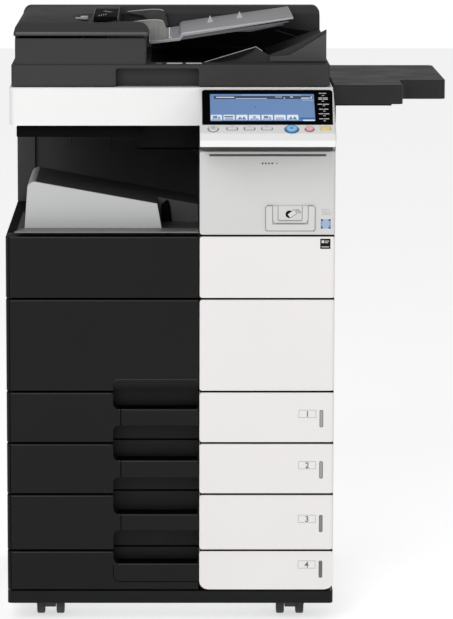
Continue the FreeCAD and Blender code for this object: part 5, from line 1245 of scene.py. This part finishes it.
def make_feeder_details():
    deck = FEED_LOW.z
    dashes = Piece("output_dashes", "feeder", MARK_WHITE, "guide_grey")
    for x, width in ((-6.7, 29), (29.3, 29)):
        dashes.box((x, x + width), (24, 44), (deck + 0.05, deck + 1), 0.3)
    dashes.done()
    dim = Piece("output_dash_dim", "feeder", MARK_GREY, "guide_grey")
    dim.box((-27.4, -15), (24, 44), (deck + 0.05, deck + 0.9), 0.3)
    dim.done()
    shade_piece = Piece("output_ramp_shade", "feeder", MATT_BLACK_AND_SHADE, "feeder_plastic")
    fin = 60
    shade_piece.prism([(68, deck + 1), (158, deck + 28), (155, deck + 22), (122, deck + 6.5), (84, deck + 1)],
                      "y", fin - GRAPHIC, fin + 0.05)
    shade_piece.done()
    # A painted highlight along the edge of the output ramp.
    line = Piece("output_ramp_highlight", "feeder", PALE_GREY_AND_HIGHLIGHT, "feeder_plastic")
    line.prism([(64, deck + 1.2), (160, deck + 30), (172, deck + 22), (171.5, deck + 21), (160, deck + 28.8),
                (65, deck + 0.3)], "y", fin - GRAPHIC * 1.5, fin + 0.05)
    line.done()
    # Painted shade: near-black sheets on the ramp's sunk top and on the deck before it.
    ramp_shade = Piece("output_ramp_cover", "feeder", DEEP_BLACK_AND_SHADE, "feeder_plastic")
    heights = [(186, 11.2), (222, 13.6), (250, 29.4), (291, 55.5)]
    ramp_shade.prism([(x, deck + max(z - 21.6, 0.3)) for x, z in heights]
                   + [(x, deck + max(z - 21.9, 0.05)) for x, z in heights[::-1]], "y", 67, 404)
    ramp_shade.box((-36, 186), (67, 404), (deck + 0.05, deck + 0.3))
    ramp_shade.done()
    lower_wall = Piece("output_rear_shade", "feeder", MATT_BLACK_AND_SHADE, "feeder_plastic")
    lower_wall.prism([(-38, deck + 1), (286, deck + 1), (286, deck + 30), (270, deck + 34), (200, deck + 44),
                      (-38, deck + 44)], "y", HUMP_LOW.y - 0.4, HUMP_LOW.y - 0.05)
    lower_wall.done()
    # Painted light: a lighter plate on the output wall's front face, where it is lit.
    face = Piece("output_wall_face", "feeder", WALL_LIT_GREY, "feeder_plastic")
    face.prism([(186, deck + 2), (291, deck + 2), (291, deck + 55.5), (250, deck + 29.4), (222, deck + 13.6),
                (198, deck + 11.8), (186, deck + 11.2)], "y", 60 - GRAPHIC, 60.05)
    face.done()
    wall = Piece("feeder_wall_line", "feeder", SHADE_AND_LINE_GREY, "feeder_plastic")
    wall.prism([(206, 1090.8), (269, 1071.2), (269, 1070.2), (206, 1089.6)], "y",
               HUMP_LOW.y - 0.8, HUMP_LOW.y - 0.4)
    wall.done()
    rollers = Piece("pickup_rollers", "feeder", ROLLER, "caster_rubber")
    for y in (200, 262):
        for x in (-120, -165):
            rollers.lathe([(11, 0), (12, 1), (12, 21), (11, 22)], "y", (x, y, FEED_HIGH.z - 14), 36)
    rollers.done()
    holder = Piece("pickup_holder", "feeder", BAY_DARK, "feeder_plastic")
    for y in ((190, 196), (288, 294)):
        holder.box((-176, -108), y, (FEED_HIGH.z - 24, FEED_HIGH.z - 6), 1.5)
    holder.box((-148, -138), (196, 288), (FEED_HIGH.z - 24, FEED_HIGH.z - 10), 1.5)
    holder.done()
    shafts = Piece("feed_shafts", "feeder", STEEL, "frame_steel")
    for x in (-120, -165, -230):
        shafts.lathe([(3, 0), (3, 360)], "y", (x, 24, FEED_HIGH.z - 14), 20)
    shafts.done()
    deck_plate = Piece("feed_deck", "feeder", TRAY_DARK, "feeder_plastic")
    deck_plate.box((-278, -56), (20, 390), (FEED_LOW.z + 12, FEED_LOW.z + 15), 1)
    deck_plate.done()


make_document_tray()
make_guide_cover("front", GUIDE_GREY, -73)
# The rear guide takes the painted shade copy of the guide plastic.
make_guide_cover("rear", GUIDE_SHADED, -84)
make_feeder_details()


# ------------------------------------------------------------------ sides, rear and casters
SIDE_HIGH = node_box("right_cover")[1]
REAR_HIGH = node_box("rear_cover")[1]
PROUD = 0.12        # how far they stand out of the face
SUNK = 0.3          # and how far they go into it


def make_rear_details():
    """Vents, screws, sockets and the rating plate on the back of the machine."""
    y = REAR_HIGH.y
    skin = (y - SUNK, y + PROUD)
    vents = Piece("rear_vents", "cabinet", GROOVE_AND_SHADE, "white_cover")
    for column in (-230, -120):
        for row in range(9):
            z = 620 + 11 * row
            vents.prism(rounded((column, column + 86), (z, z + 4), 1.9), "y", *skin)
    for row in range(7):
        z = 330 + 11 * row
        vents.prism(rounded((110, 240), (z, z + 4), 1.9), "y", *skin)
    vents.done()
    seams = Piece("rear_seams", "cabinet", SHADOW_LINE_GREY, "white_cover")
    for z in (250, 560, 860):
        seams.box((-300, 300), skin, (z, z + 1.2))
    seams.box((-20, -18.8), skin, (251.2, 560))
    seams.done()
    ports = Piece("rear_ports", "cabinet", MATT_BLACK_AND_SHADE, "bay_plastic")
    for i, (width, height) in enumerate(((16, 13), (13, 6), (13, 6), (22, 10))):
        x = 60 + 34 * i
        ports.prism(rounded((x, x + width), (800, 800 + height), 1), "y", *skin)
    ports.done()
    plate = Piece("rear_plate", "cabinet", UNIT_METAL, "frame_steel")
    plate.prism(rounded((-250, -160), (180, 230), 2), "y", *skin)
    plate.done()
    screws = Piece("rear_screws", "cabinet", STEEL, "frame_steel")
    for x in (-290, 0, 290):
        for z in (80, 262, 572, 872):
            screws.lathe([(3.4, -SUNK), (3.3, PROUD * 0.6), (TIP, PROUD)], "y", (x, y, z), 24)
    screws.done()


def make_side_details():
    """Vents and lifting grips on both sides, the right door's handle, and the bypass tray's grip and size
    marks.
    """
    right, left = SIDE_HIGH.x, -SIDE_HIGH.x
    right_skin = (right - SUNK, right + PROUD)
    left_skin = (left - PROUD, left + SUNK)
    vents = Piece("side_vents", "cabinet", GROOVE_AND_SHADE, "white_cover")
    left_vents = Piece("left_side_vents", "cabinet", GROOVE_AND_SHADE, "black_cover")
    for row in range(8):
        z = 300 + 10 * row
        vents.prism(rounded((380, 500), (z, z + 4), 1.9), "x", *right_skin)
        left_vents.prism(rounded((380, 500), (z, z + 4), 1.9), "x", *left_skin)
        left_vents.prism(rounded((330, 500), (z + 250, z + 254), 1.9), "x", *left_skin)
    grip = rounded((70, 170), (100, 126), 10)
    vents.prism(grip, "x", *right_skin)
    left_vents.prism(grip, "x", *left_skin)
    vents.done()
    left_vents.done()
    door_low, door_high = node_box("right_door")
    handle = Piece("right_door_handle", "right_door", MATT_BLACK_AND_SHADE, "bay_plastic")
    handle.prism(rounded((door_low.y + 25, door_low.y + 105), (door_high.z - 34, door_high.z - 16), 5), "x",
                 door_high.x - SUNK, door_high.x + PROUD)
    handle.done()
    bypass_low, bypass_high = node_box("bypass_tray")
    ribs = Piece("bypass_tray_grip", "bypass_tray", MATT_BLACK_AND_SHADE, "bay_plastic")
    middle = (bypass_low.y + bypass_high.y) / 2
    ribs.prism(rounded((middle - 35, middle + 35), (bypass_high.z - 18, bypass_high.z - 8), 4), "x",
               bypass_high.x - SUNK, bypass_high.x + PROUD)
    ribs.done()
    arrows = Piece("bypass_size_marks", "bypass_tray", MARK_GREY, "white_cover")
    for i in range(5):
        y = middle - 80 + 40 * i
        arrows.box((bypass_high.x - 0.2, bypass_high.x + PROUD), (y, y + 1),
                   (bypass_low.z + 16, bypass_low.z + 30))
    arrows.done()


def make_caster_details():
    """Tapered hoods over the twin wheels, and caps on their hubs."""
    for end in ("front_left", "front_right", "rear_left", "rear_right"):
        low, high = node_box("caster_wheels_" + end)
        middle = (low + high) / 2
        hood = Piece("caster_hood_" + end, "caster_swivel_" + end, NYLON, "caster_black")
        for side in (-1, 1):
            outer = high.x if side > 0 else low.x
            x_out = outer + 1.6 * side
            x_low = outer - 1.0 * side
            hood.prism([(x_out - 3 * side, middle.z + 22), (x_out, middle.z + 20), (x_out, middle.z + 6),
                        (x_low, middle.z - 16), (x_low - 1.2 * side, middle.z - 16),
                        (x_out - 1.6 * side, middle.z + 6), (x_out - 1.6 * side, middle.z + 19)],
                       "y", middle.y - 19, middle.y + 19, 0.5)
        hood.done()
        cap = Piece("caster_cap_" + end, "caster_roll_" + end, CARRIAGE, "caster_black")
        for side in (-1, 1):
            face = high.x if side > 0 else low.x
            cap.lathe([(9, -0.3 * side), (8, 0.35 * side), (TIP, 0.5 * side)], "x",
                      (face, middle.y, middle.z), 30)
        cap.done()


make_rear_details()
make_side_details()
make_caster_details()


# ------------------------------------------------------------------ stage
ROOM_LIGHT = 0.36    # how strongly the room lights the machine
BACKDROP = 1.0       # and how bright it looks to the camera
FLOOR_GLOW = 0.57


def make_stage():
    """A pale floor and soft light."""
    reach = 14
    plane = bmesh.new()
    corners = [plane.verts.new((x * reach, y * reach, 0)) for x, y in ((-1, -1), (1, -1), (1, 1), (-1, 1))]
    plane.faces.new(corners)
    shape = bpy.data.meshes.new("floor")
    plane.to_mesh(shape)
    plane.free()
    floor = bpy.data.objects.new("floor", shape)
    bpy.context.scene.collection.objects.link(floor)
    pale = moulded("studio_floor", (0.86, 0.86, 0.86), 0.8, grain=0.0, wear=0.004, shine=0.1)
    glow = pale.node_tree.nodes["Principled BSDF"].inputs
    glow["Emission Color"].default_value = (1, 1, 1, 1)
    glow["Emission Strength"].default_value = FLOOR_GLOW
    shape.materials.append(pale)
    scene = bpy.context.scene
    scene.view_settings.view_transform = "Standard"
    scene.world = bpy.data.worlds.new("studio")
    scene.world.use_nodes = True
    tree = scene.world.node_tree
    backdrop = tree.nodes["Background"]
    path = tree.nodes.new("ShaderNodeLightPath")
    seen = tree.nodes.new("ShaderNodeMapRange")
    seen.inputs["To Min"].default_value = ROOM_LIGHT
    seen.inputs["To Max"].default_value = BACKDROP
    tree.links.new(path.outputs["Is Camera Ray"], seen.inputs["Value"])
    tree.links.new(seen.outputs["Result"], backdrop.inputs["Strength"])
    backdrop.inputs["Color"].default_value = (1, 1, 1, 1)
    for name, place, aim, size, power in (
            ("key_light", (-1.6, -4.2, 2.8), (0, 0, 0.6), 2.6, 80),
            ("fill_light", (2.6, -3.6, 1.6), (0, 0, 0.6), 2.4, 25),
            ("top_light", (0.2, -0.2, 3.6), (0, 0.1, 0.8), 2.2, 10)):
        light = bpy.data.lights.new(name, "AREA")
        light.size = size
        light.energy = power
        holder = bpy.data.objects.new(name, light)
        holder.location = place
        holder.rotation_euler = (Vector(aim) - Vector(place)).to_track_quat("-Z", "Y").to_euler()
        scene.collection.objects.link(holder)


# the camera that fits the photograph's parallel edges, in the machine's millimetres and degrees
CAMERA_PLACE = (-4.32, -6655.8, 1593.7)
CAMERA_PITCH = 8.517
FOCAL_SHARE = 5.815832   # focal length over sensor width
CAMERA_SHIFT = 0.0945


def make_camera():
    camera = bpy.data.cameras.new("camera")
    camera.sensor_width = 36
    camera.lens = FOCAL_SHARE * camera.sensor_width
    camera.shift_x = CAMERA_SHIFT
    camera.clip_end = 50
    holder = bpy.data.objects.new("camera", camera)
    holder.location = MACHINE @ Vector(CAMERA_PLACE)
    holder.rotation_euler = (math.radians(90 - CAMERA_PITCH), 0, 0)
    bpy.context.scene.collection.objects.link(holder)
    bpy.context.scene.camera = holder


make_stage()
make_camera()
